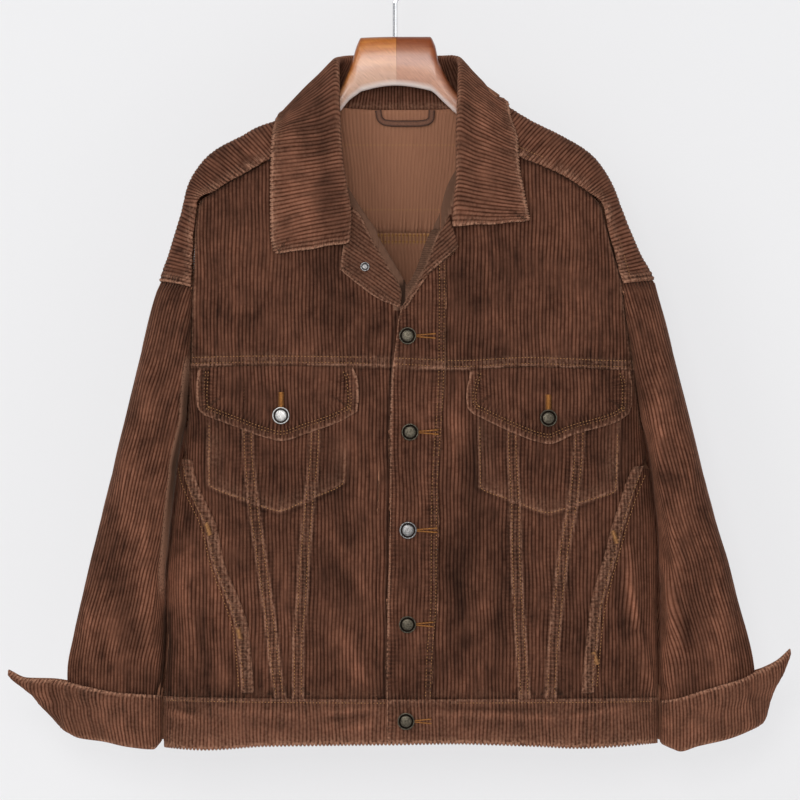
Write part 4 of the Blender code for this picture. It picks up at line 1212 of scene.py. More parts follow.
def at_length(line, run):
    """Points of a line at given lengths along it, carried straight on past its ends."""
    done = lengths(line)
    point = np.stack([np.interp(run, done, column) for column in line.T], -1)
    tail = unit(line[-1] - line[-4]) * np.maximum(run - done[-1], 0)[:, None]
    head = unit(line[0] - line[3]) * np.maximum(-run, 0)[:, None]
    return point + tail + head


def laid_out(lines, across, step=1.0, low=-4.0, start=None):
    """A form through lines that run along the wales, each measured from its start or a given length."""
    starts = np.zeros(len(lines)) if start is None else np.array(start)
    highest = max(lengths(line)[-1] - s for line, s in zip(lines, starts)) + 4
    along_axis = np.arange(low, highest, 1.5)
    rows = np.array([at_length(line, along_axis + s) for line, s in zip(lines, starts)])
    across_axis = np.arange(across[0] - 2, across[-1] + 2, step)
    place = np.clip(np.interp(across_axis, across, np.arange(len(lines))), 0, len(lines) - 1.0001)
    first = place.astype(int)
    share = (place - first)[:, None, None]
    return across_axis, along_axis, rows[first] * (1 - share) + rows[first + 1] * share


over_right, over_left = ([row for row in yoke_rows(which) if row[1] is not None] for which in (RIGHT, LEFT))
round_right, round_left = ([row for row in yoke_rows(which) if row[1] is None] for which in (RIGHT, LEFT))
yoke_lines = []
for which, rows in ((RIGHT, over_right), (None, round_right + round_left[::-1]), (LEFT, over_left[::-1])):
    table = np.array([[*first, ridge or 0, *last] for first, ridge, last in rows], float)
    for place in np.linspace(0, len(rows) - 1, (len(rows) - 1) * YOKE_SAMPLES + 1):
        x, z, ridge, back_x, back_z = (float(eased(list(enumerate(column)), place)) for column in table.T)
        yoke_lines.append(yoke_line(which, (x, z), ridge, (back_x, back_z)))
fronts = np.array([line[-1] for line in yoke_lines])
middles = np.array([at_length(line, np.array([lengths(line)[-1] - 50]))[0] for line in yoke_lines])
yoke_across = (lengths(fronts) + lengths(middles)) / 2
yoke_ends = np.array([lengths(line)[-1] for line in yoke_lines])
yoke_axes = laid_out(yoke_lines, yoke_across)
YOKE = Form(*yoke_axes, body_outward(yoke_axes[2]))
yoke_width = yoke_across[-1]
over_count = (len(over_right) - 1) * YOKE_SAMPLES
NECK_FROM, NECK_TO = yoke_across[over_count], yoke_across[-1 - over_count]


# soft swellings over the shoulders: place across, half width and height
YOKE_SWELLS = ((-135, 15, 2.4), (-195, 22, 2.2), (199, 20, 1.8))
YOKE_FOLDS = ((-150, -185, -190, -255, 12, 1.0), (150, -190, 196, -262, 12, 1.0))
# the yoke's rope ridges: painted shade in the groove and beyond them, and a painted highlight on the first
# ridge
ROPE_PROFILE = (
    ("height", 4.2, 0.9, -0.5), ("height", 9.6, 1.0, -0.5),
    ("wear", 1.6, 1.7, 0.95, 0.5), ("wear", 6.6, 2.6, 0.5, 0.4),
    ("shade", 10.8, 1.8, 0.45), ("shade", 4.2, 0.9, 0.5), ("shade", 1.6, 1.5, -0.4),
)


def yoke_relief(stands, c, t, p):
    x = p[:, 0]
    # the yoke is painted lighter than the body
    stands.shade -= 0.85
    stands.height += sum(rise * bump(x - place, half) for place, half, rise in YOKE_SWELLS)
    to_front = np.where((c < NECK_FROM) | (c > NECK_TO), np.interp(c, yoke_across, yoke_ends) - t, 60)
    # the front seam, the back seam and the two outer edges: distance in, run, seed and how proud they are
    for distance, run, seed, proud in (
        (to_front, c, 3.0, 1.0), (t, c, 6.0, 0.3), (c - yoke_across[0], t, 2.0, 1.0),
        (yoke_width - c, t, 5.0, 1.0),
    ):
        ropes = (("height", 1.8, ROPE_WIDTH, 1.7 * proud), ("height", 6.6, 2.4, 0.7 * proud))
        stands.profile(distance, ropes)
        stands.profile(distance, ROPE_PROFILE, wander(run, seed))
        stands.seam(np.abs(distance - 5), run)
    stands.folds(YOKE_FOLDS, p, 1.0, 0.0)


def there_and_back(first, last):
    """A closed outline out along one edge and back along another, each given as lengths across and along."""
    out, back = (np.stack(np.broadcast_arrays(*edge), -1) for edge in (first, last))
    return np.concatenate([out, back[::-1]])


yoke_outline = there_and_back((yoke_across, 0.0), (yoke_across, yoke_ends))
cut_cloth("back_yoke_cloth", YOKE, yoke_outline, np.arange(0, 300, 6.0), yoke_relief)


# The sleeves: one piece each, from the dropped shoulder seam to the cuff, folded flat along the outer
# edge so that the wales run beside it. Long soft folds fall from the elbow on the side of the body.
SLEEVE_OUTER = {
    RIGHT: ((-326, -236), (-347, -243), (-377, -250.3), (-412, -258.4), (-461, -270.3), (-500, -279.8),
            (-524, -285.3), (-541, -289.6), (-560, -294.3), (-580, -299.3), (-611, -307), (-641, -313.6),
            (-680, -322.5), (-715, -329), (-770, -330), (-800, -330)),
    LEFT: ((-324, 260), (-368, 272), (-417, 284), (-462, 295.6), (-500, 304.8), (-524, 310.8), (-545, 316.3),
           (-575, 324.7), (-608, 335), (-640, 342.6), (-715, 361), (-770, 364), (-800, 364)),
}
SLEEVE_INNER = {
    RIGHT: ((-470, -210.5), (-488, -214.5), (-521, -220), (-588, -227.5), (-624, -231), (-687, -232),
            (-720, -234), (-745, -239), (-800, -240)),
    LEFT: ((-470, 249), (-488, 254), (-521, 259.5), (-588, 265.5), (-687, 266.5), (-720, 267.6),
           (-745, 269.2), (-800, 269.2)),
}
SLEEVE_FULLNESS = ((-326, 0), (-360, 8), (-410, 19), (-440, 25), (-460, 29), (-476, 32), (-540, 34),
                   (-640, 29), (-700, 19), (-735, 14.6), (-800, 14.6))
SLEEVE_END = {
    RIGHT: ((0, -768), (0.5, -781), (0.9, -788), (1, -783)),
    LEFT: ((0, -768), (0.6, -787), (0.85, -791), (1, -783)),
}
GAP_TURN = 2.72
TUCK = 1.0
SLEEVE_TOP = {RIGHT: -324.7, LEFT: -323.0}
DROP_SEAM_SLOPE = {RIGHT: 5.9, LEFT: 4.2}
SLEEVE_FOLDS = {
    RIGHT: (
        (-262, -350, -240, -480, 12, 1.8),
        (-283, -460, -250, -610, 13, 2.4),
        (-300, -560, -262, -690, 11, -1.8),
        (-250, -560, -244, -720, 7, 2.2),
        (-312, -640, -300, -745, 9, 1.8),
        (-240, -400, -225, -520, 7, -1.4),
        (-285, -640, -275, -750, 8, 1.6),
    ),
    LEFT: (
        (281, -350, 262, -480, 12, 1.8),
        (305, -450, 276, -600, 12, 2.2),
        (283, -590, 276, -735, 7, 3.0),
        (272, -560, 268, -690, 5, -1.8),
        (300, -600, 296, -740, 9, -1.8),
        (325, -560, 330, -740, 11, 2.2),
        (345, -640, 350, -745, 7, -1.2),
        (262, -420, 268, -560, 6, 1.6),
        (265, -596, 292, -708, 4, 2.6),
        (274, -600, 298, -700, 3.5, -1.6),
    ),
}


def sleeve_points(which, turn, z):
    w = (1 - np.cos(turn)) / 2
    side = np.where(turn > 0, FRONT, BACK)
    outer = eased(SLEEVE_OUTER[which], z)
    inner = float(eased(SLEEVE_INNER[which], z))
    hold = 0.0
    if z > UNDERARM:
        edge = float(eased(ARMHOLE[which], z))
        inner = edge - which * TUCK
        hold = np.where(side == FRONT, body_depth(edge, z, FRONT), body_depth(edge, z, BACK))
    short = abs(inner - float(outer)) * (1 - math.cos(math.pi - GAP_TURN)) / 2
    gap = abs(inner - body_side(which)(z)) + short + 0.2 if z < UNDERARM - 1 else 0.0
    x = outer + (inner - outer) * w - which * gap * bump(turn + GAP_TURN, 0.16)
    open_part = np.sqrt(np.clip(1 - (1 - w) ** 1.25, 0, None))
    closed_part = np.sqrt(np.clip(1 - np.abs(np.cos(turn)) ** 2.8, 0, None))
    y = side * (hold * open_part + eased(SLEEVE_FULLNESS, z) * closed_part)
    return np.stack([x, y, np.full(turn.shape, z)], -1)


TURNS = np.linspace(-math.pi, math.pi, 241)
OUTER_FOLD = 120
NEXT_TO_BODY = 10


def round_sleeve(ring_points):
    """Lengths round the sleeve from its outer fold, kept beside that fold except next to the body."""
    real = lengths(ring_points)
    real = np.abs(real - real[OUTER_FOLD])
    off = np.abs(ring_points[:, 0] - ring_points[OUTER_FOLD, 0])
    run = off + 5 * (1 - np.exp(-off / 5))
    flat_end = max(off[0], off[-1]) - NEXT_TO_BODY
    for half in (np.arange(OUTER_FOLD, -1, -1), np.arange(OUTER_FOLD, len(run))):
        after = half[np.argmax(off[half] > flat_end):]
        run[after] = run[after[0]] + real[after] - real[after[0]]
    return run * np.sign(np.arange(len(run)) - OUTER_FOLD)


# the plain strip where the right sleeve lies against the body, darkened with painted shade: its width and where
# it fades, low and high
SHADED_STRIP_WIDTH = 7.5
SHADED_STRIP_LOW, SHADED_STRIP_HIGH = -645, -400
IN_CUFF = -725
for which, name in SIDES:
    heights = np.arange(-800, -322, 2.0)
    across = np.arange(-170, 171, 1.0)
    grid, reach = np.zeros((len(across), len(heights), 3)), np.zeros((len(heights), 2))
    for k, z in enumerate(heights):
        round_it = sleeve_points(which, TURNS, float(z))
        run = round_sleeve(round_it)
        grid[:, k] = np.stack([np.interp(across, run, column) for column in round_it.T], -1)
        reach[k] = run[0], run[-1]
    outline = []
    for front in (0, 1):
        low_edge, top_edge = [], []
        for share in np.linspace(0, 1, 30):
            turn = math.pi * share * (1 if front else -1)
            w = (1 - math.cos(turn)) / 2
            z_end, z_top = float(eased(SLEEVE_END[which], w)), SLEEVE_TOP[which] - DROP_SEAM_SLOPE[which] * w
            for edge, z in ((low_edge, z_end), (top_edge, z_top)):
                edge.append((float(np.interp(turn, TURNS, round_sleeve(sleeve_points(which, TURNS, z)))), z))
        side_z = np.linspace(low_edge[-1][1], top_edge[-1][1], 60)[1:-1]
        side_edge = zip(np.interp(side_z, heights, reach[:, front]), side_z)
        outline.append([*low_edge, *side_edge, *top_edge[::-1]])

    def sleeve_relief(stands, c, t, p):
        on_front = p[:, 1] < 0
        x, z = p[:, 0], p[:, 2]
        edge, outer, inner = (eased(rows[which], z) for rows in (ARMHOLE, SLEEVE_OUTER, SLEEVE_INNER))
        # the sleeve is painted lighter, with painted light and shade on its folds and painted shade under the
        # drop seam
        stands.shade -= 0.35
        stands.folds(SLEEVE_FOLDS[which], p, 1.5, 0.36, np.where(on_front, 1.0, 0.8) * (1 - bump(c, 14)))
        from_outer = np.clip((x - outer) / (edge - outer), 0, 1)
        below = SLEEVE_TOP[which] - 2 - DROP_SEAM_SLOPE[which] * from_outer - z
        stands.height -= 1.7 * np.clip(1 - below / 3, 0, 1)
        stands.profile(below, (("shade", 1.0, 2.2, 0.5),))
        stands.seam(np.abs(below), c + 200)
        stands.profile(c, (("wear", 0, 3.0, 0.25, 0.0),), wander(z, 3.0))
        # painted light along the join with the body, painted shade in the slit below it, and a plain strip in
        # painted shade
        to_inner = np.abs(x - np.where(z > UNDERARM, edge, inner))
        slit = slit_beside_sleeve(which, z)
        by_body = np.clip((UNDERARM + 30 - z) / 30, 0, 1) * (1 - slit)
        stands.profile(to_inner, (("shade", 0, 12, -1.2 * by_body), ("shade", 0, 3, 1.2 * slit)))
        strip = np.clip((SHADED_STRIP_WIDTH - to_inner) / 4, 0, 1) * on_front * (which == RIGHT)
        strip = strip * np.clip((z - SHADED_STRIP_LOW) / 110, 0, 1) * np.clip((SHADED_STRIP_HIGH - z) / 70, 0, 1)
        stands.wear += PLAIN * strip
        stands.shade += 2.7 * strip
        stands.height -= 1.2 * np.clip((IN_CUFF - z) / 14, 0, 1)
        stands.profile(x - edge, (("height", 0, 2.0, -1.5),), where=z > UNDERARM)

    SLEEVE, round_it = Form(across, heights, grid, facing=-which), np.array(outline[1] + outline[0][::-1])
    cut_cloth(f"sleeve_{name}_cloth", SLEEVE, round_it, np.arange(-800, -322, 8.0), sleeve_relief, pitch=3.25)


# The cuffs: a doubled band turned back over each sleeve's end, its loose corner standing out and the
# free edge on top sewn round. The fold is at the bottom.
CUFF = {
    RIGHT: {
        "fold": ((-333, -778), (-319, -784), (-293, -787.5), (-268, -793), (-242, -795.5), (-234.5, -789.5)),
        "free": ((-388.5, -715.5), (-370, -724), (-344, -725), (-306, -733), (-280, -738), (-255, -740),
                 (-234.5, -741.5)),
        "corner": ((-333, -778), (-346, -762.5), (-358, -750), (-364, -741), (-377, -732), (-386, -725),
                   (-390, -719.5), (-388.5, -715.5)),
    },
    LEFT: {
        "fold": ((367, -773.5), (333, -785.5), (303, -792.5), (286, -797.5), (278, -795), (266.5, -790.5)),
        "free": ((397, -694.5), (384, -706.5), (370, -714), (362, -717), (349, -724), (333, -729),
                 (303, -738), (284, -744), (266.5, -747)),
        "corner": ((367, -773.5), (372.5, -765), (376.5, -750), (381, -735), (390, -720), (396.5, -704),
                   (398.5, -698), (397, -694.5)),
    },
}
CUFF_FULLNESS = 18.4
CUFF_CORNER_FULLNESS = 5
CUFF_DEPTH = 55
CUFF_FOLDS = {
    RIGHT: ((-336, -776, -344, -726, 4, -1.8), (-329, -780, -335, -726, 3.5, 0.9),
            (-345, -750, -372, -732, 5, 1.2), (-290, -785, -296, -740, 8, 0.7)),
    LEFT: ((365, -770, 353, -720, 4, -1.8), (358, -776, 345, -722, 4, 0.8), (372, -745, 388, -712, 5, 1.2),
           (310, -788, 306, -742, 8, 0.7)),
}
# how far round the fold the wales are carried, so that they hang upright on the front
CUFF_CARRY = {RIGHT: 56, LEFT: 44}


def along(points, t):
    """Points at shares t of the length of a smooth curve through given points."""
    points = np.array(points, float)
    keys = lengths(points)
    keys = keys / keys[-1]
    return np.stack([eased(list(zip(keys, column)), t) for column in points.T], -1)


def coons(low, high, right, left, u, v):
    """Points of the patch between four sides, each a function of 0 to 1."""
    a, b = u[:, None], v[:, None]
    flat = (1 - b) * low(u) + b * high(u) + (1 - a) * right(v) + a * left(v)
    zero, one = np.zeros(1), np.ones(1)
    return flat - (
        (1 - a) * (1 - b) * low(zero) + a * (1 - b) * low(one) + (1 - a) * b * high(zero) + a * b * high(one)
    )


for which, name in SIDES:
    lines = CUFF[which]
    drawn_sides = (lines["fold"], lines["free"], lines["corner"], (lines["fold"][-1], lines["free"][-1]))
    low, high, right, left = (lambda t, points=points: along(points, t) for points in drawn_sides)
    shares = np.linspace(0, 1, 46)
    turn, v = (m.ravel() for m in np.meshgrid(TURNS, shares, indexing="ij"))
    x, z = coons(low, high, right, left, (1 - np.cos(turn)) / 2, v).T
    sleeve_edge = eased(SLEEVE_OUTER[which], z)
    beyond = np.maximum(0, which * (x - sleeve_edge)) / np.abs(sleeve_edge - high(np.zeros(1))[0, 0])
    full = CUFF_FULLNESS + (CUFF_CORNER_FULLNESS - CUFF_FULLNESS) * np.clip(beyond, 0, 1) ** 0.6
    y = np.where(turn > 0, FRONT, BACK) * full * np.sqrt(np.clip(1 - np.abs(np.cos(turn)) ** 4, 0, None))
    grid = np.stack([x, y, z], -1).reshape(len(TURNS), len(shares), 3)
    cuff_run = (lengths(grid[:, 0]) + lengths(grid[:, -1])) / 2
    cuff_run -= cuff_run[OUTER_FOLD]
    axis = np.arange(cuff_run[0], cuff_run[-1], 1.0)
    place = np.interp(axis, cuff_run, np.arange(len(TURNS)))
    first = np.clip(place.astype(int), 0, len(TURNS) - 2)
    part = (place - first)[:, None, None]
    grid = grid[first] * (1 - part) + grid[first + 1] * part

    def cuff_relief(stands, c, t, p):
        # the cuff is painted lighter, with painted light and shade on its folds and painted lighter towards its
        # free edge
        stands.shade -= 0.8
        stands.wear += 0.12
        stands.folds(CUFF_FOLDS[which], p, 1.3, 0.5, p[:, 1] < 0)
        stands.edge(CUFF_DEPTH - t, c + 200, 0.6, 2.0, stitch=4.5)
        stands.profile(CUFF_DEPTH - t, (("shade", 0, 9, -0.3),))
        stands.profile(t, (("height", 0, 2.0, -1.6), ("wear", 1.0, 2.0, 0.7, 0.4)), wander(c, 4.0))

    def cuff_lean(c, t):
        return -CUFF_CARRY[which] * np.clip(1 - np.abs(c) / axis[-1], 0, 1) * (1 - t / CUFF_DEPTH)

    edge_c = np.linspace(axis[0] + 0.1, axis[-1] - 0.1, 80)
    cut_cloth(
        f"cuff_{name}_cloth", Form(axis, shares * CUFF_DEPTH, grid, facing=-which),
        there_and_back((edge_c, 0.0), (edge_c, CUFF_DEPTH)), np.arange(0, 60, 3.0), cuff_relief, pitch=3.1,
        scallop=(1.4, 0), wall=1.4, lean=cuff_lean,
    )


# The flaps of the two chest pockets: doubled, pointed, rounded at the corners and sewn twice round.
FLAP = {
    RIGHT: {
        "low": ((-190, -460), (-164, -470), (-132, -482), (-114, -486), (-87, -478), (-56, -467),
                (-38, -457)),
        "high": ((-195, -412.5), (-135, -411), (-43, -412.5)),
        "right": ((-190, -460), (-196, -452), (-196.5, -439), (-195, -412.5)),
        "left": ((-38, -457), (-37, -445), (-39, -423), (-43, -412.5)),
    },
    LEFT: {
        "low": ((78, -459), (118, -478), (146, -488), (153, -489), (177, -480), (221, -467), (233, -459)),
        "high": ((76.5, -415.5), (133, -412.5), (233, -415.5)),
        "right": ((78, -459), (72, -452), (71, -441), (76.5, -415.5)),
        "left": ((233, -459), (236, -448), (236, -434), (233, -415.5)),
    },
}
FLAP_BUTTONS = {RIGHT: (-113.6, -460.5), LEFT: (153, -463)}
FLAP_SEWN = 8.6
FLAP_WARPS = {
    RIGHT: ((-70, -420, -100, -455, 9, 0.8), (-160, -420, -150, -460, 12, -0.7)),
    LEFT: ((110, -420, 122, -462, 10, 0.8), (195, -420, 200, -460, 12, 0.7)),
}


# the flap's free edge: painted lighter along its rim, and painted shade at its sewn groove and inside the rim
FLAP_PROFILE = (
    ("height", 0, 1.0, -0.5), ("height", 4.6, 2.6, 0.7), ("height", FLAP_SEWN, 1.2, -0.6),
    ("wear", 0.4, 1.0, 0.85, 1.2), ("wear", 4.8, 2.8, 0.25, 0.3), ("shade", 0.8, 1.0, -0.8),
    ("shade", FLAP_SEWN + 0.6, 1.3, 0.55), ("shade", 5.6, 0.8, 0.35),
)
BUTTON_HOLLOW = 160 ** 0.5
ALL_ROUND, FLAP_FREE = "low left -high -right", "-right low left"


def joined(sides, names, steps=40):
    """A line along several of a piece's drawn sides, backwards where the name has a minus sign."""
    t = np.linspace(0, 1, steps)
    lines = [along(sides[name.strip("-")], t)[::-1 if name[0] == "-" else 1] for name in names.split()]
    return np.concatenate(lines)


def on_rings(points, side=FRONT):
    """A line of lengths along the rings and heights, from points seen from the front."""
    return np.array([(run_at(x, z, side), z) for x, z in points])


for which, name in SIDES:
    free_edge = joined(FLAP[which], FLAP_FREE, 60)

    def flap_relief(stands, c, t, p):
        x, z = p[:, 0], p[:, 2]
        distance, _, run = beside(free_edge[::3], x, z)
        stands.profile(distance, FLAP_PROFILE, wander(run, 3.0 + which))
        stands.seam(np.abs(distance - FLAP_SEWN), run)
        spot_x, spot_z = FLAP_BUTTONS[which]
        stands.height -= 0.8 * bump(np.hypot(x - spot_x, z - spot_z), BUTTON_HOLLOW)
        stands.folds(FLAP_WARPS[which], p, 1.0, 0.35)

    cut_cloth(
        f"pocket_flap_{name}_cloth", FORMS[FRONT], on_rings(joined(FLAP[which], ALL_ROUND)),
        np.arange(-500, -400, 2.5), flap_relief, lift=LAYER,
    )


# The welts of the two slanting hand pockets: narrow doubled strips lying over the pocket's mouth.
WELT_WIDTH = 13
WELT_OVER_SEAM = 3
WELT_ENDS = {RIGHT: (-738, -505), LEFT: (-738, -512)}
for which, name in SIDES:
    bottom, top = WELT_ENDS[which]
    mouth = seam(POCKET_MOUTH[which])
    near = -WELT_OVER_SEAM if which == RIGHT else WELT_OVER_SEAM - WELT_WIDTH
    heights = np.linspace(bottom, top, 60)
    starts = np.array([run_at(mouth(z), z, FRONT) + near for z in heights])

    def welt_relief(stands, c, t, p):
        from_right = c - np.interp(t, heights, starts)
        outer = from_right if which == RIGHT else WELT_WIDTH - from_right
        uneven = wander(t, 5.0 + which)
        # the welt is painted a little lighter, painted lighter along its edges and in painted shade beside its
        # raised ridge
        stands.wear += 0.3
        stands.shade -= 0.25
        stands.profile(outer, (
            ("height", 3.0, 2.2, 0.9), ("height", 5, 6, 0.8 * np.sin(t * 0.42 + 3 * uneven)),
            ("height", 0, 1.0, -1.0), ("wear", 1.4, 1.8, 0.9, 0.4), ("shade", 1.2, 1.3, -0.6),
            ("shade", 7, 1.6, 0.4),
        ), uneven)
        stands.profile(WELT_WIDTH - outer, (
            ("height", 0, 1.6, -1.2), ("wear", 3.5, 4.5, 0.5, 0.3), ("shade", 2.0, 1.2, -0.4),
        ), uneven)
        stands.seam(np.abs(outer - 5), t + 800)

    cut_cloth(
        f"pocket_welt_{name}_cloth", FORMS[FRONT],
        there_and_back((starts, heights), (starts + WELT_WIDTH, heights)), np.arange(-740, -500, 4.0),
        welt_relief, lift=LAYER,
    )


# The lapels: the tops of the two fronts turned back, so that the wales of their facing slant along
# the lower edge. The fold that turns them is soft and thick.
LAPEL = {
    RIGHT: {
        "low": ((-55, -315), (-35, -332), (-15, -345), (5, -353)),
        "high": ((-52, -292), (-43, -253)),
        "right": ((-55, -315), (-52, -292)),
        "left": ((5, -353), (7, -338), (-5, -315), (-17, -295), (-35, -263), (-43, -253)),
    },
    LEFT: {
        "low": ((6, -352), (10, -354)),
        "high": ((53, -260), (57, -272), (64, -295)),
        "right": ((6, -352), (11, -345), (30, -312), (40, -286), (53, -260)),
        "left": ((10, -354), (15, -347), (25, -332), (39, -313), (64, -295)),
    },
}
LAPEL_TURN = {RIGHT: 55, LEFT: -48}
LAPEL_LIFT = {RIGHT: LAYER, LEFT: 2 * LAYER}


def turned_form(base, degrees, middle, reach):
    """A form with its wales turned about a point, and how to turn points the same way."""
    cosine, sine = math.cos(math.radians(degrees)), math.sin(math.radians(degrees))
    axis = np.arange(-reach, reach + 1, 1.0)
    c, t = (m.ravel() for m in np.meshgrid(axis, axis, indexing="ij"))
    points, outward = base.at(middle[0] + c * cosine - t * sine, middle[1] + c * sine + t * cosine)
    shape = (len(axis), len(axis), 3)

    def turn(line):
        x, z = (line - np.array(middle)).T
        return np.stack([x * cosine + z * sine, z * cosine - x * sine], -1)

    return Form(axis, axis, points.reshape(shape), outward.reshape(shape)), turn


for which, name in SIDES:
    form, turn = turned_form(FORMS[FRONT], LAPEL_TURN[which], (0, -305), 110)
    fold = joined(LAPEL[which], "left" if which == RIGHT else "right")
    free = joined(LAPEL[which], "-right low" if which == RIGHT else "low left")

    def lapel_relief(stands, c, t, p):
        # the lapel is painted slightly darker
        stands.wear += 0.26
        stands.shade += 0.1
        distance, _, run = beside(fold[::2], p[:, 0], p[:, 2])
        turned = (("height", 0, 1.8, -1.8), ("wear", 0.4, 0.9, 1.4, 0.5))
        stands.profile(distance, turned, wander(run, 2.0 + which))
        distance, _, run = beside(free[::2], p[:, 0], p[:, 2])
        stands.edge(distance, run, 0.8, 4.0 + which, stitch=5.5)

    cut_cloth(
        f"lapel_{name}_cloth", form, turn(on_rings(joined(LAPEL[which], ALL_ROUND))),
        np.arange(-110, 110, 2.5), lapel_relief, lift=LAPEL_LIFT[which], pitch=3.3, wale=0.5,
    )


# The collar: a stand sewn to the neck, rolled over into a fall whose wales run out from the neck.
# Its edge is thick, and each wale ends there in a small light bead.
COLLAR = np.array((
    # neck, roll and edge, from the wearer's right point round the neck to the left one
    ((-51, -40, -286), (-46, -47, -288), (-119, -42, -301)),
    ((-52, -39, -262), (-44, -47, -262), (-123, -41, -280)),
    ((-58, -34, -234), (-48, -47, -234), (-123.5, -40, -247)),
    ((-68, -31, -207), (-53, -46, -202), (-123, -37, -213)),
    ((-75, -25, -184), (-55.5, -41, -168), (-122, -30, -180)),
    ((-82, -14, -158), (-57, -27, -130), (-120, -16, -167)),
    ((-85, 1, -139), (-57, -3, -104), (-116, 4, -160)),
    ((-72, 16, -144), (-52, 20, -100), (-106, 26, -169)),
    ((-48, 18, -149), (-38, 28, -98), (-76, 35, -179)),
    ((-18, 18.5, -151), (-15, 32, -98), (-30, 38, -184)),
    ((10, 18.5, -151.5), (10, 33, -98), (10, 38, -185)),
    ((40, 18.5, -151), (36, 32, -98), (50, 38, -184)),
    ((66, 18, -149), (54, 27, -98), (90, 34, -177)),
    ((89, 16, -144), (63, 18, -101), (98, 24, -159)),
    ((103, 1, -139), (64, -3, -107), (105, 4, -150)),
    ((100, -14, -152), (64, -25, -128), (115, -15, -163)),
    ((92, -25, -177), (63, -39, -152), (122, -29, -183)),
    ((83, -32, -203), (62, -46, -186), (123, -37, -207)),
    ((74, -36, -228), (62, -47, -217), (127, -40, -231)),
    ((65, -38, -250), (60, -47, -243), (131, -41, -252)),
    ((62, -40, -270), (58, -46, -272), (134, -42, -267)),
))
COLLAR_OVER_LAPEL = 0.14
NECK_MIDDLE = 5.0
SHOULDER_RIDGE = 12
NECK_CLEARANCE = 0.4
COLLAR_FOLD = 8.0
ROLL_HALF = 3.4
STAND_LEAN = 11.0
FALL_BULGE = {RIGHT: 4.0, LEFT: 5.6}
COLLAR_SEWN = 8.0
POINT_WAVE = 0.012
POINT_ROUND = 6.0
NECK_LAP = 1.6
COLLAR_WALE = 3.9
COLLAR_WARPS = (
    (-104, -150, -96, -285, 8, 1.6),
    (-74, -165, -68, -285, 7, -1.4),
    (-116, -200, -106, -296, 5, -1.2),
    (-88, -200, -84, -290, 5, 1.0),
    (84, -140, 96, -255, 8, 1.6),
    (108, -150, 116, -255, 6, -1.3),
    (70, -180, 78, -265, 6, 1.2),
    (96, -190, 104, -262, 5, -0.9),
)


# painted shade and painted light in patches on the collar's front: a line's two ends, its half width and its
# depth of tone
COLLAR_SHADES = (
    (-112, -150, -116, -290, 9, -0.4),
    (-64, -215, -58, -275, 13, 0.5),
    (-78, -120, -70, -200, 11, 0.3),
    (72, -165, 76, -255, 12, 0.5),
    (106, -150, 112, -225, 8, -0.4),
    (92, -120, 84, -180, 8, -0.25),
)


def clear_of_body(points, distance):
    """Points moved straight out where they are nearer to the body than a distance."""
    for _ in range(6):
        slope = body_outward(points)
        steep = np.linalg.norm(slope, axis=-1)
        away = (body_level(*points.T) - 1) / steep
        move = np.where((points[:, 2] <= RINGS[0, 0]) & (away < distance), distance - away, 0)
        points = points + slope / steep[:, None] * move[:, None]
    return points


def rounded(line, times):
    """A line with its corners cut twice over, keeping its ends."""
    for _ in range(times):
        a, b = line[:-1], line[1:]
        inner = np.stack([a * 0.75 + b * 0.25, a * 0.25 + b * 0.75], 1).reshape(-1, 3)
        line = np.concatenate([line[:1], inner[1:-1], line[-1:]])
    return line


shares = np.linspace(0, 1, 301)
keys = np.linspace(0, 1, len(COLLAR))
neck, roll_line, edge = (
    np.stack([eased(list(zip(keys, COLLAR[:, part, k])), shares) for k in range(3)], -1) for part in range(3)
)
over_lapel = np.minimum(shares, 1 - shares) < COLLAR_OVER_LAPEL
out, stand = unit(edge - roll_line), unit(neck - roll_line)
on_top = bump(roll_line[:, 1] - 2, 24)[:, None]
to_point = np.minimum(shares, 1 - shares)
in_front = (np.clip((-roll_line[:, 1] - 8) / 14, 0, 1) * np.clip((to_point - 0.1) / 0.06, 0, 1))[:, None]
inward = np.sign(NECK_MIDDLE - roll_line[:, :1]) * np.array([[1.0, 0.0, 0.0]])
sideways = np.where(roll_line[:, :1] < NECK_MIDDLE, -0.62, 0.62)
up = np.concatenate([sideways, np.zeros_like(sideways), np.full_like(sideways, 0.78)], 1)
apart = unit(out - stand + up * on_top)
bulge = np.where(roll_line[:, :1] < NECK_MIDDLE, FALL_BULGE[RIGHT], FALL_BULGE[LEFT]) * on_top
columns = [
    clear_of_body(neck, NECK_CLEARANCE + LAYER * over_lapel),
    (neck + roll_line) / 2 + inward * STAND_LEAN * in_front - up * 2.0 * on_top,
    roll_line + stand * COLLAR_FOLD - apart * ROLL_HALF * 0.7 + inward * STAND_LEAN * 0.3 * in_front,
    roll_line - apart * ROLL_HALF, roll_line + apart * ROLL_HALF,
    roll_line + out * COLLAR_FOLD + apart * ROLL_HALF * 0.7 + up * bulge * 0.4,
]
for share, wave in ((0.3, 1.1), (0.53, -0.9), (0.77, 1.0), (1.0, 0.0)):
    spot = roll_line + (edge - roll_line) * share + up * bulge * math.sin(math.pi * share)
    spot[:, 2] += wave * np.exp(-to_point / POINT_WAVE)
    on_ridge = np.abs(spot[:, 1]) < SHOULDER_RIDGE
    columns.append(clear_of_body(spot, LAYER * np.where(over_lapel, 2, np.where(on_ridge, 1.4, 1))))
collar_lines = [rounded(np.array(points), 3) for points in zip(*columns)]
rolls = [
    lengths(line)[np.argmin(np.linalg.norm(line - r, axis=1))] for line, r in zip(collar_lines, roll_line)
]
collar_ends = np.array([lengths(line)[-1] - r for line, r in zip(collar_lines, rolls)])
mid_fall = np.array([
    at_length(line, np.array([r + 0.5 * e]))[0] for line, r, e in zip(collar_lines, rolls, collar_ends)
])
collar_across = lengths(mid_fall)
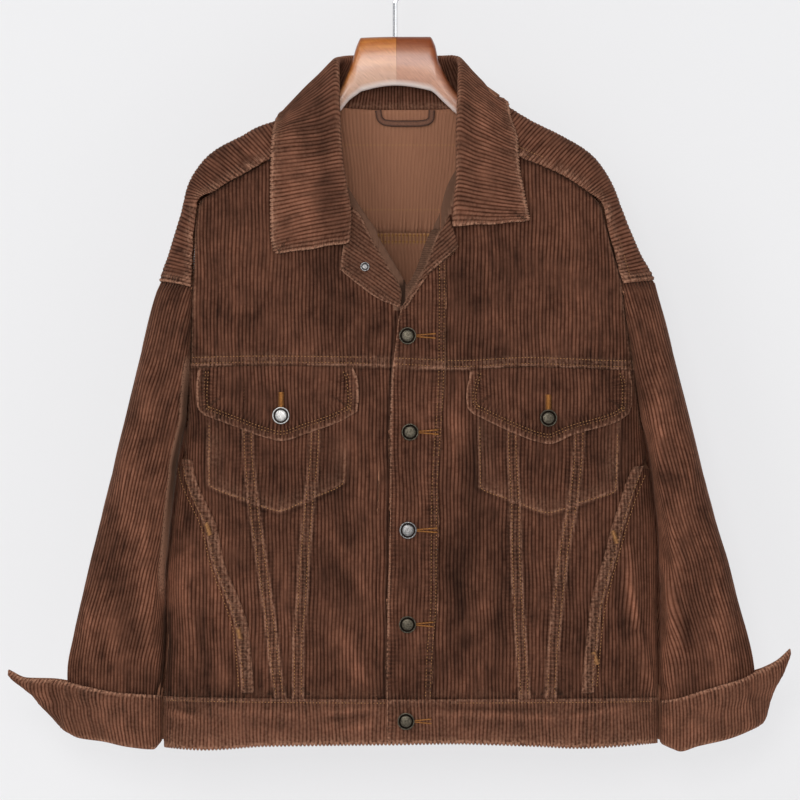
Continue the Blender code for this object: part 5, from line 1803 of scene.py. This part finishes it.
across, along_axis, grid = laid_out(collar_lines, collar_across, low=-max(rolls) - 4, start=rolls)
COLLAR_FORM = Form(across, along_axis, grid)
if COLLAR_FORM.table[len(across) // 2, np.searchsorted(along_axis, 60), 4] < 0:
    COLLAR_FORM.table[..., 3:] *= -1
collar_width = collar_across[-1]
from_point = np.minimum(collar_across, collar_width - collar_across)
short_of_point = np.clip(POINT_ROUND - from_point, 0, POINT_ROUND)
collar_ends -= POINT_ROUND - np.sqrt(POINT_ROUND**2 - short_of_point**2)
# the collar in front of this depth is the part that folds, and its left fall beyond this place is painted
# lighter
ON_FRONT = -15
LEFT_FALL = 30


def collar_relief(stands, c, t, p):
    to_edge = np.interp(c, collar_across, collar_ends) - t
    to_ends = np.minimum(c, collar_width - c)
    nearest = np.minimum(to_edge, np.where(t > 0, to_ends, 60))
    on_front = p[:, 1] < ON_FRONT
    stands.wear += 0.08
    # painted shade on the stand under the roll, the collar painted lighter, its left fall lighter still,
    # painted light and shade in patches on its front, and a painted highlight along the roll
    stands.shade += 0.7 * np.clip(-t / 6, 0, 1) - 0.25 * (p[:, 0] > LEFT_FALL) - 0.5
    stands.shade += 1.5 * creases(COLLAR_SHADES, p[:, 0], p[:, 2]) * on_front
    stands.edge(nearest, np.where(to_edge < to_ends, c, t), 0.75, 5.0, stitch=COLLAR_SEWN)
    stands.profile(nearest, (("height", 3.0, 2.5, 0.5), ("wear", 0.6, 1.5, 0.9)))
    stands.profile(t, (("wear", 0, 3.5, 0.5, 0.3), ("shade", 0.8, 1.3, -0.7)), wander(c, 8.0))
    stands.profile(t + np.interp(c, collar_across, rolls), (("wear", 1.2, 1.4, 0.8),))
    stands.folds(COLLAR_WARPS, p, 1.0, 0.4, on_front)


collar_rows = np.concatenate([np.arange(-60, -8, 6.0), np.arange(-8, 8, 1.6), np.arange(8, 90, 4.0)])
collar_outline = there_and_back((collar_across, -np.array(rolls) - NECK_LAP), (collar_across, collar_ends))
cut_cloth(
    "collar_cloth", COLLAR_FORM, collar_outline, collar_rows, collar_relief, pitch=COLLAR_WALE,
    scallop=(0, 1.9), wall=1.9, wale=0.7,
)


# The hanging loop: a narrow folded strip of the same brown, sewn down at both ends inside the neck.
LOOP = ((-17, -153), (-15.5, -161), (-10, -165.5), (2, -166.5), (20, -166.5), (31, -165.5), (36.5, -161),
        (37, -153))
LOOP_HALF = (3.3, 0.8)
LOOP_SIDES = 12
# the yoke's two thicknesses lie between the body's ring and the strip
LOOP_INSIDE = 2 + 0.45 + 0.8


def fine_paint(
    name, dark, light, roughness, scale=(1, 1, 1), detail=220.0, metallic=0.0, bump_height=0.0003, **values,
):
    """A material whose colour wanders between two, with a fine relief."""
    paint, tree, shader = new_paint(name, Roughness=roughness, Metallic=metallic, **values)
    stretch = node(tree, "ShaderNodeMapping")
    stretch.inputs["Scale"].default_value = scale
    feed(stretch.inputs["Vector"], node(tree, "ShaderNodeTexCoord").outputs["Object"])
    grain = noise(tree, stretch.outputs[0], detail, 3.0, 0.6)
    feed(shader.inputs["Base Color"], wandering(tree, grain, dark, light))
    raised(tree, shader, grain, bump_height)
    return paint, tree, shader


def overlaid(tree, shader, share, colour):
    """Lay a colour over the one that a shader has, where a share of the tree says so."""
    base = shader.inputs["Base Color"]
    feed(base, blend(tree, share, base.links[0].from_socket, colour))


def closed_object(name, verts, faces, paint):
    """An object whose faces are all turned outward."""
    made = new_object(name, verts, faces, paint)
    return reworked(made, lambda shape: bmesh.ops.recalc_face_normals(shape, faces=shape.faces))


def tube(rings):
    """Vertices and faces of a tube through rings of points, with closed ends."""
    count, sides = rings.shape[:2]
    faces = [
        (a + k, a + (k + 1) % sides, a + sides + (k + 1) % sides, a + sides + k)
        for a in range(0, (count - 1) * sides, sides) for k in range(sides)
    ]
    faces += [tuple(range(sides))[::-1], tuple(range((count - 1) * sides, count * sides))]
    return rings.reshape(-1, 3), faces


flat_line = along(LOOP, np.linspace(0, 1, 60))
heading = unit(np.gradient(flat_line, axis=0))
loop_depth = body_depth(flat_line[:, 0], flat_line[:, 1], BACK) - LOOP_INSIDE
loop_line = np.stack([flat_line[:, 0], loop_depth, flat_line[:, 1]], -1)
aside = np.stack([-heading[:, 1], np.zeros(60), heading[:, 0]], -1)
turn = 2 * math.pi * (np.arange(LOOP_SIDES) + 0.5) / LOOP_SIDES
wide, thick = (half * way(turn)[:, None] for half, way in zip(LOOP_HALF, (np.cos, np.sin)))
rings = loop_line[:, None] + aside[:, None] * wide + np.array((0.0, -1.0, 0.0)) * thick
LOOP_PAINT, tree, shader = fine_paint("loop tape", srgb(96, 62, 46), srgb(122, 82, 62), 0.85, detail=900.0)
# the tape is darker along both its edges
overlaid(tree, shader, stored(tree, "edging"), srgb(52, 30, 22))
loop = closed_object("hanging_loop_tape", *tube(rings), LOOP_PAINT)
carry(loop.data, edging=np.tile(np.clip((np.abs(np.cos(turn)) - 0.5) / 0.3, 0, 1), len(rings)))
settle(loop, "hanging_loop")


# The hanger: two arms and a tall neck of turned and lacquered hardwood, glued from two halves that
# meet in the middle and differ in tone, and a chromed steel hook screwed into the neck.
WOOD = np.array((
    # place along the hanger, top, bottom, half depth
    (-187, -210, -220, 4), (-183, -205, -224, 8), (-150, -184.5, -213, 11), (-119, -176, -204, 12),
    (-90, -163, -190, 11), (-72, -150, -171, 11), (-56, -134, -156, 11.5), (-45, -111, -143, 12),
    (-38, -88, -138, 13), (-34, -81, -135, 13), (0, -80, -129, 13), (35, -80, -134, 13), (40, -88, -137, 13),
    (44, -105, -141, 12.5), (62, -136, -158, 11.5), (82, -152, -175, 11), (104, -166, -192, 11),
    (135, -178, -207, 12), (170, -186.5, -217, 11), (195, -205, -230, 8), (200, -212, -225, 4),
), float)
WOOD_SIDES = 40
WOOD_SQUARENESS = 0.7
JOINT = 1.5
NECK_SIDES = (
    ((-60, -137), (-52, -126), (-45, -111), (-38, -88), (-35, -82)),
    ((35, -82), (38, -87), (44, -105), (52, -121), (62, -136)),
)
lacquer, tree, shader = fine_paint(
    "lacquered wood", srgb(176, 96, 34), srgb(212, 138, 66), 0.36, scale=(0.12, 1, 1), detail=160.0,
    bump_height=0.0, Coat_Weight=0.3, Coat_Roughness=0.22, Coat_IOR=1.5, Specular_IOR_Level=0.2,
)
x, _, z = parts_of(tree, node(tree, "ShaderNodeTexCoord").outputs["Object"])
pale, lip, turned_edge = (stored(tree, key) for key in ("pale", "lip", "turned_edge"))
left_half = x > JOINT * MM
streaks = shader.inputs["Base Color"].links[0].from_socket
toned = blend(tree, left_half, streaks, blend(tree, 1.0, streaks, (0.5, 0.38, 0.6), "MULTIPLY"))
# the pale sheen colours of the two halves, a painted reflection of the lacquer; then painted shade on the
# turned edges, and a painted highlight on the lip
sheen_tone = blend(tree, left_half, srgb(212, 178, 160), srgb(196, 154, 136))
toned = blend(tree, pale, toned, blend(tree, 0.2, sheen_tone, streaks))
toned = blend(tree, turned_edge, toned, srgb(120, 54, 20))
scratches = 0.62 + noise(tree, vector(tree, x + z, (x - z) * 0.08), 900.0) * 0.72
toned = blend(tree, 1.0, toned, vector(tree, scratches, scratches, scratches), "MULTIPLY")
joint = (abs(x - JOINT * MM) < 0.0003) * (0.7 - pale * 0.6)
toned = blend(tree, joint, toned, srgb(90, 40, 16))
feed(shader.inputs["Base Color"], blend(tree, lip, toned, srgb(250, 240, 234)))
places = np.concatenate([
    np.linspace(*part) for part in ((-187, -60, 60), (-58, -30, 36), (-28, 28, 24), (30, 60, 36), (62, 200, 60))
])
turn = 2 * math.pi * (np.arange(WOOD_SIDES) + 0.5) / WOOD_SIDES
round_y, round_z = (np.sign(way(turn)) * np.abs(way(turn)) ** WOOD_SQUARENESS for way in (np.cos, np.sin))
rings = []
for x in places:
    top, bottom, depth = (float(eased(WOOD[:, (0, k)], x)) for k in (1, 2, 3))
    heights = (top + bottom) / 2 + (top - bottom) / 2 * round_z
    rings.append(np.stack([np.full(WOOD_SIDES, x), depth * round_y, heights], -1))
verts, faces = tube(np.array(rings))
wood = closed_object("hanger_wood_turned", verts, faces, lacquer)
# the neck: a pale painted sheen, a painted reflection, on its face; a painted highlight along its lip at the
# foot; and painted shade up its turned sides and over its top
NECK_REACH, NECK_CENTRE, NECK_TOP = 66, 2, -83.5
x, _, z = verts.T
from_sides = np.minimum(*(beside(line, x, z)[0] for line in NECK_SIDES))
under_neck = np.clip((NECK_REACH - np.abs(x - NECK_CENTRE)) / 10, 0, 1)
painted_sheen = np.clip((-84 - z) / 34, 0, 1) * np.clip((from_sides - 1) / 9, 0, 1) * under_neck
lip = 0.85 * np.clip(1.3 - (z - eased(WOOD[:, (0, 2)], x)) / 4.6, 0, 1) * under_neck
turned_edge = np.clip(1 - from_sides / 5, 0, 1) * np.clip((z + 128) / 20, 0, 1) * under_neck
turned_edge = 0.75 * np.maximum(turned_edge, np.clip((z - NECK_TOP) / 2.5, 0, 1))
carry(wood.data, pale=painted_sheen, lip=lip, turned_edge=turned_edge)
settle(wood, "hanger_wood")
chrome, tree, shader = fine_paint(
    "chromed steel", srgb(226, 228, 232), srgb(240, 241, 243), 0.12, detail=60.0, metallic=1.0,
    bump_height=0.0,
)
# painted dark reflections along the hook's edges
edge_reflection = node(tree, "ShaderNodeLayerWeight")
edge_reflection.inputs["Blend"].default_value = 0.35
overlaid(tree, shader, (Dial(edge_reflection.outputs["Facing"]) ** 1.4 * 1.3).clipped(), srgb(88, 84, 84))
hook = bpy.data.objects["hanger_hook"]
hook.data.materials.clear()
hook.data.materials.append(chrome)


# The buttons: stamped jeans heads with a raised rim, a groove and a domed face, each on a short
# shank. One on the front is pewter, one flap's is silver, and the others are darkened bronze.
BUTTON = 17.0
FRONT_BUTTONS = ((12.6, -381), (15, -477), (13, -575), (12.5, -669), (11, -766))
RIVET = 9.0
RIVET_PLACE = (-30, -312)
HEAD_FOOT = 1.8
# each step of the head's top: how far in, then how far up
HEAD_STEPS = ((1.0, 0), (0.35, -0.9), (1.2, 0), (0.3, 0.65), (1.6, 0.25), (2.1, 0.1))
RIVET_STEPS = ((0.9, 0), (0.3, -0.35), (0.5, 0), (0.3, 0.3), (1.2, 0.1))


def metal(name, dark, light, hollow, roughness):
    """Worn plated metal: polished where it stands proud, dark where the groove holds dirt."""
    made, tree, shader = fine_paint(
        name, dark, light, roughness, detail=700.0, metallic=1.0, bump_height=0.00012,
    )
    overlaid(tree, shader, stored(tree, "groove"), hollow)
    return made


SILVER = metal("silver plate", srgb(128, 126, 124), srgb(190, 188, 185), srgb(42, 38, 36), 0.42)
PEWTER = metal("worn pewter", srgb(84, 82, 81), srgb(142, 140, 139), srgb(34, 30, 28), 0.4)
BRONZE = metal("darkened bronze", srgb(44, 40, 34), srgb(92, 86, 74), srgb(22, 18, 14), 0.4)


SHANK = 3.2


def press_button(name, radius, foot, depth, steps, place, lift, paint, shank):
    """A round head modelled upright at the origin, then set square on the cloth."""
    middle = Vector((0, 0, (foot + depth / 2) * MM))
    bpy.ops.mesh.primitive_cylinder_add(vertices=40, radius=radius * MM, depth=depth * MM, location=middle)
    head = bpy.context.object
    head.name = name
    head.data.materials.append(paint)
    bpy.ops.object.mode_set(mode="EDIT")
    bpy.ops.mesh.select_mode(type="FACE")
    bpy.ops.mesh.select_all(action="DESELECT")
    shape = bmesh.from_edit_mesh(head.data)
    for face in shape.faces:
        face.select = face.normal.z > 0.9
    bmesh.update_edit_mesh(head.data)
    for inward, rise in steps:
        bpy.ops.mesh.inset(thickness=inward * MM)
        bpy.ops.transform.translate(value=(0, 0, rise * MM))
    bpy.ops.object.mode_set(mode="OBJECT")
    soften = head.modifiers.new("soften", "BEVEL")
    soften.width = 0.22 * MM
    soften.segments = 2
    soften.limit_method = "ANGLE"
    bpy.ops.object.modifier_apply(modifier=soften.name)
    # the groove lies inside the rim and below the head's top, and takes in the first three steps
    groove_ends = radius - sum(inward for inward, _ in steps[:3]) - 0.25, radius - steps[0][0] - 0.1
    groove = []
    for vert in head.data.vertices:
        inside = groove_ends[0] < math.hypot(vert.co.x, vert.co.y) / MM < groove_ends[1]
        low = vert.co.z / MM < depth / 2 - 0.2
        groove.append(float(inside and low and vert.normal.z > 0.5))
    carry(head.data, groove=groove)
    bpy.ops.object.shade_smooth_by_angle(angle=math.radians(50))
    if shank:
        below = (0, 0, foot / 2 * MM)
        bpy.ops.mesh.primitive_cylinder_add(vertices=20, radius=SHANK * MM, depth=foot * MM, location=below)
        neck = bpy.context.object
        neck.data.materials.append(paint)
        pick(neck, head)
        bpy.ops.object.join()
    x, z = place
    seat, outward = FORMS[FRONT].at(np.array([run_at(x, z, FRONT)]), np.array([z]))
    facing = Vector(outward[0])
    head.rotation_mode = "QUATERNION"
    turned = Vector((0, 0, 1)).rotation_difference(facing)
    head.rotation_quaternion = turned
    middle.rotate(turned)
    head.location = (Vector(seat[0]) + facing * lift) * MM + middle
    pick(head)
    bpy.ops.object.transform_apply(location=True, rotation=True, scale=True)
    settle(head, name.replace("_metal", ""))


button_spots = [(f"front_button_{k}", spot, k == 3) for k, spot in enumerate(FRONT_BUTTONS, 1)]
button_spots += [(f"flap_button_{side}", FLAP_BUTTONS[which], which == RIGHT) for which, side in SIDES]
for name, spot, silver in button_spots:
    press_button(
        f"{name}_metal", BUTTON / 2, HEAD_FOOT, 2.5, HEAD_STEPS, spot, LAYER + 0.3,
        (PEWTER if name == "front_button_3" else SILVER) if silver else BRONZE,
        True,
    )
press_button(
    "lapel_rivet_metal", RIVET / 2, 0.4, 1.1, RIVET_STEPS, RIVET_PLACE, LAYER + 0.4, PEWTER,
    False,
)


# The sewing: rows of brown thread along the seams, brown bar tacks on the welts, and satin
# buttonholes worked in ochre. Every stitch is a small grain half sunk in the cloth.
def sew(name, paint, rows, pitch=3.2, full=0.36, half=0.5):
    """One object of many stitches; each row is a form, a line of lengths on it and a lift."""
    verts, faces = [], []
    for form, line, lift in rows:
        line = np.asarray(line, float)
        done = lengths(line)
        count = max(1, int(done[-1] / pitch))
        spacing = done[-1] / count
        middles = (np.arange(count) + 0.5) * spacing
        ends = []
        for shift in (-full, 0, full):
            points, outward = form.at(*(np.interp(middles + shift * spacing, done, way) for way in line.T))
            ends.append(points + outward * lift)
        aside = np.cross(outward, unit(ends[2] - ends[0])) * half
        out = outward * half
        for stitch in zip(ends[0], ends[2], ends[1] + aside, ends[1] - aside, ends[1] + out, ends[1] - out):
            k = len(verts)
            verts.extend(stitch)
            for a, b in ((2, 4), (4, 3), (3, 5), (5, 2)):
                faces.append((k, k + a, k + b))
                faces.append((k + 1, k + b, k + a))
    settle(closed_object(name, verts, faces, paint))


BROWN_THREAD = fine_paint("brown thread", srgb(142, 96, 56), srgb(180, 130, 80), 0.8, detail=500.0)[0]
OCHRE_THREAD = fine_paint("ochre thread", srgb(140, 86, 28), srgb(188, 126, 58), 0.7, detail=500.0)[0]


def inside_of(line, distance):
    """A line moved aside, to the left of its travel."""
    heading = unit(np.gradient(line, axis=0))
    return line + np.stack([-heading[:, 1], heading[:, 0]], -1) * distance


def front_rows(*lines):
    """Rows of stitches on the front; each line is points seen from the front, and their lift."""
    return [(FORMS[FRONT], on_rings(points), lift) for points, lift in lines]


def upright(rows, start, end, aside):
    return [(x + aside, z) for x, z in drawn(rows, start, end)]


rows = []
for above in (3.4, 9.4):
    for low, high, lift in ((-203, -18, 0.7), (0, 49, LAYER + 0.8), (52, 235, 0.7)):
        x = np.arange(low, high, 6.0)
        rows += front_rows((zip(x, eased(CHEST_SEAM, x) + above), lift))
for dart in (OUTER_DART[RIGHT], INNER_DART[RIGHT], INNER_DART[LEFT], OUTER_DART[LEFT]):
    rows += front_rows(*((upright(dart, -416, -740, aside), 2.0) for aside in (-3.5, 3.5)))
rows += front_rows(*((upright(BAND_SEAM[LEFT], -290, -742, aside), LAYER + 0.4) for aside in (-1.4, -6.2)))
x = np.arange(-228, 262, 6.0)
rows += [(FORMS[side], on_rings(zip(x, eased(WAIST_SEAM, x) - 4.0), side), 0.5) for side in (FRONT, BACK)]
for which in (RIGHT, LEFT):
    rows += front_rows((inside_of(along(POCKET_BAG[which], np.linspace(0.03, 0.97, 60)), 2.6), 1.5))
sew("front_seam_stitches", BROWN_THREAD, rows)
x = np.arange(-120, 150, 6.0)
rows = []
for below in (2.5, 9.0):
    rows.append((FORMS[BACK], on_rings(zip(x, eased(BACK_YOKE_SEAM, x) - below), BACK), -CLOTH - 1.0))
sew("inner_yoke_stitches", OCHRE_THREAD, rows, pitch=3.6, half=0.55)
rows = []
for which, (bottom, top) in WELT_ENDS.items():
    for aside in (0.0, 4.8 * which):
        rows += front_rows((upright(POCKET_MOUTH[which], top - 8, bottom + 6, aside), LAYER + 1.3))
for which in (RIGHT, LEFT):
    edge = joined(FLAP[which], FLAP_FREE, 60)
    from_middle = np.abs(edge[:, 0] - np.mean(edge[:, 0])).max()
    for inside in (6.8, 9.6):
        line = inside_of(edge, inside)
        kept = (line[:, 1] < -415) & (np.abs(line[:, 0] - np.mean(edge[:, 0])) < from_middle - inside * 0.8)
        rows += front_rows((line[kept], LAYER + 0.5))
for inside in (4.0, 9.6):
    for first, last in ((1.0, NECK_FROM - 2), (NECK_TO + 2, yoke_width - 1.0)):
        c = np.arange(first, last, 4.0)
        rows.append((YOKE, np.stack([c, np.interp(c, yoke_across, yoke_ends) - inside], -1), 0.6))
    c = np.arange(2.0, yoke_width - 2, 4.0)
    rows.append((YOKE, np.stack([c, np.full(len(c), inside)], -1), 0.6))
sew("edge_stitches", BROWN_THREAD, rows)

# satin buttonholes and bar tacks: each is a line with its half width
SATIN_STEP = 0.75
HOLES = tuple(
    ((x + 8.0, z + side * 0.6), (right + 1, z + side * 2.2), 0.9, LAYER + 0.9)
    for (x, z), right in zip(FRONT_BUTTONS, (39, 42, 41, 37, 35)) for side in (1, -1)
)
HOLES += tuple(((x, z + 8.5), (x, z + 23.0), 3.6, LAYER + 0.7) for x, z in FLAP_BUTTONS.values())
TACKS = (
    ((-188, -568), (-184, -580), 3.4, LAYER + 1.3),
    ((-157, -672), (-154, -685), 3.2, LAYER + 1.3),
    ((217, -576), (221, -588), 3.2, LAYER + 1.3),
    ((198, -697), (202, -709), 3.2, LAYER + 1.3),
)
for name, bars, thread in (("buttonhole_satin", HOLES, OCHRE_THREAD), ("bar_tacks", TACKS, BROWN_THREAD)):
    rows = []
    for first, last, half, lift in bars:
        first, last = np.array(first, float), np.array(last, float)
        heading = unit(last - first)
        across = np.array([-heading[1], heading[0]]) * half
        for share in np.linspace(0, 1, int(np.linalg.norm(last - first) / SATIN_STEP)):
            spot = first + (last - first) * share
            rows += front_rows(((spot - across, spot + across), lift))
    sew(name, thread, rows, pitch=50.0, full=0.5)

boxes = {"cad": cad_box, "visual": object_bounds()}
boxes = {key: [[float(v) for v in corner] for corner in box] for key, box in boxes.items()}
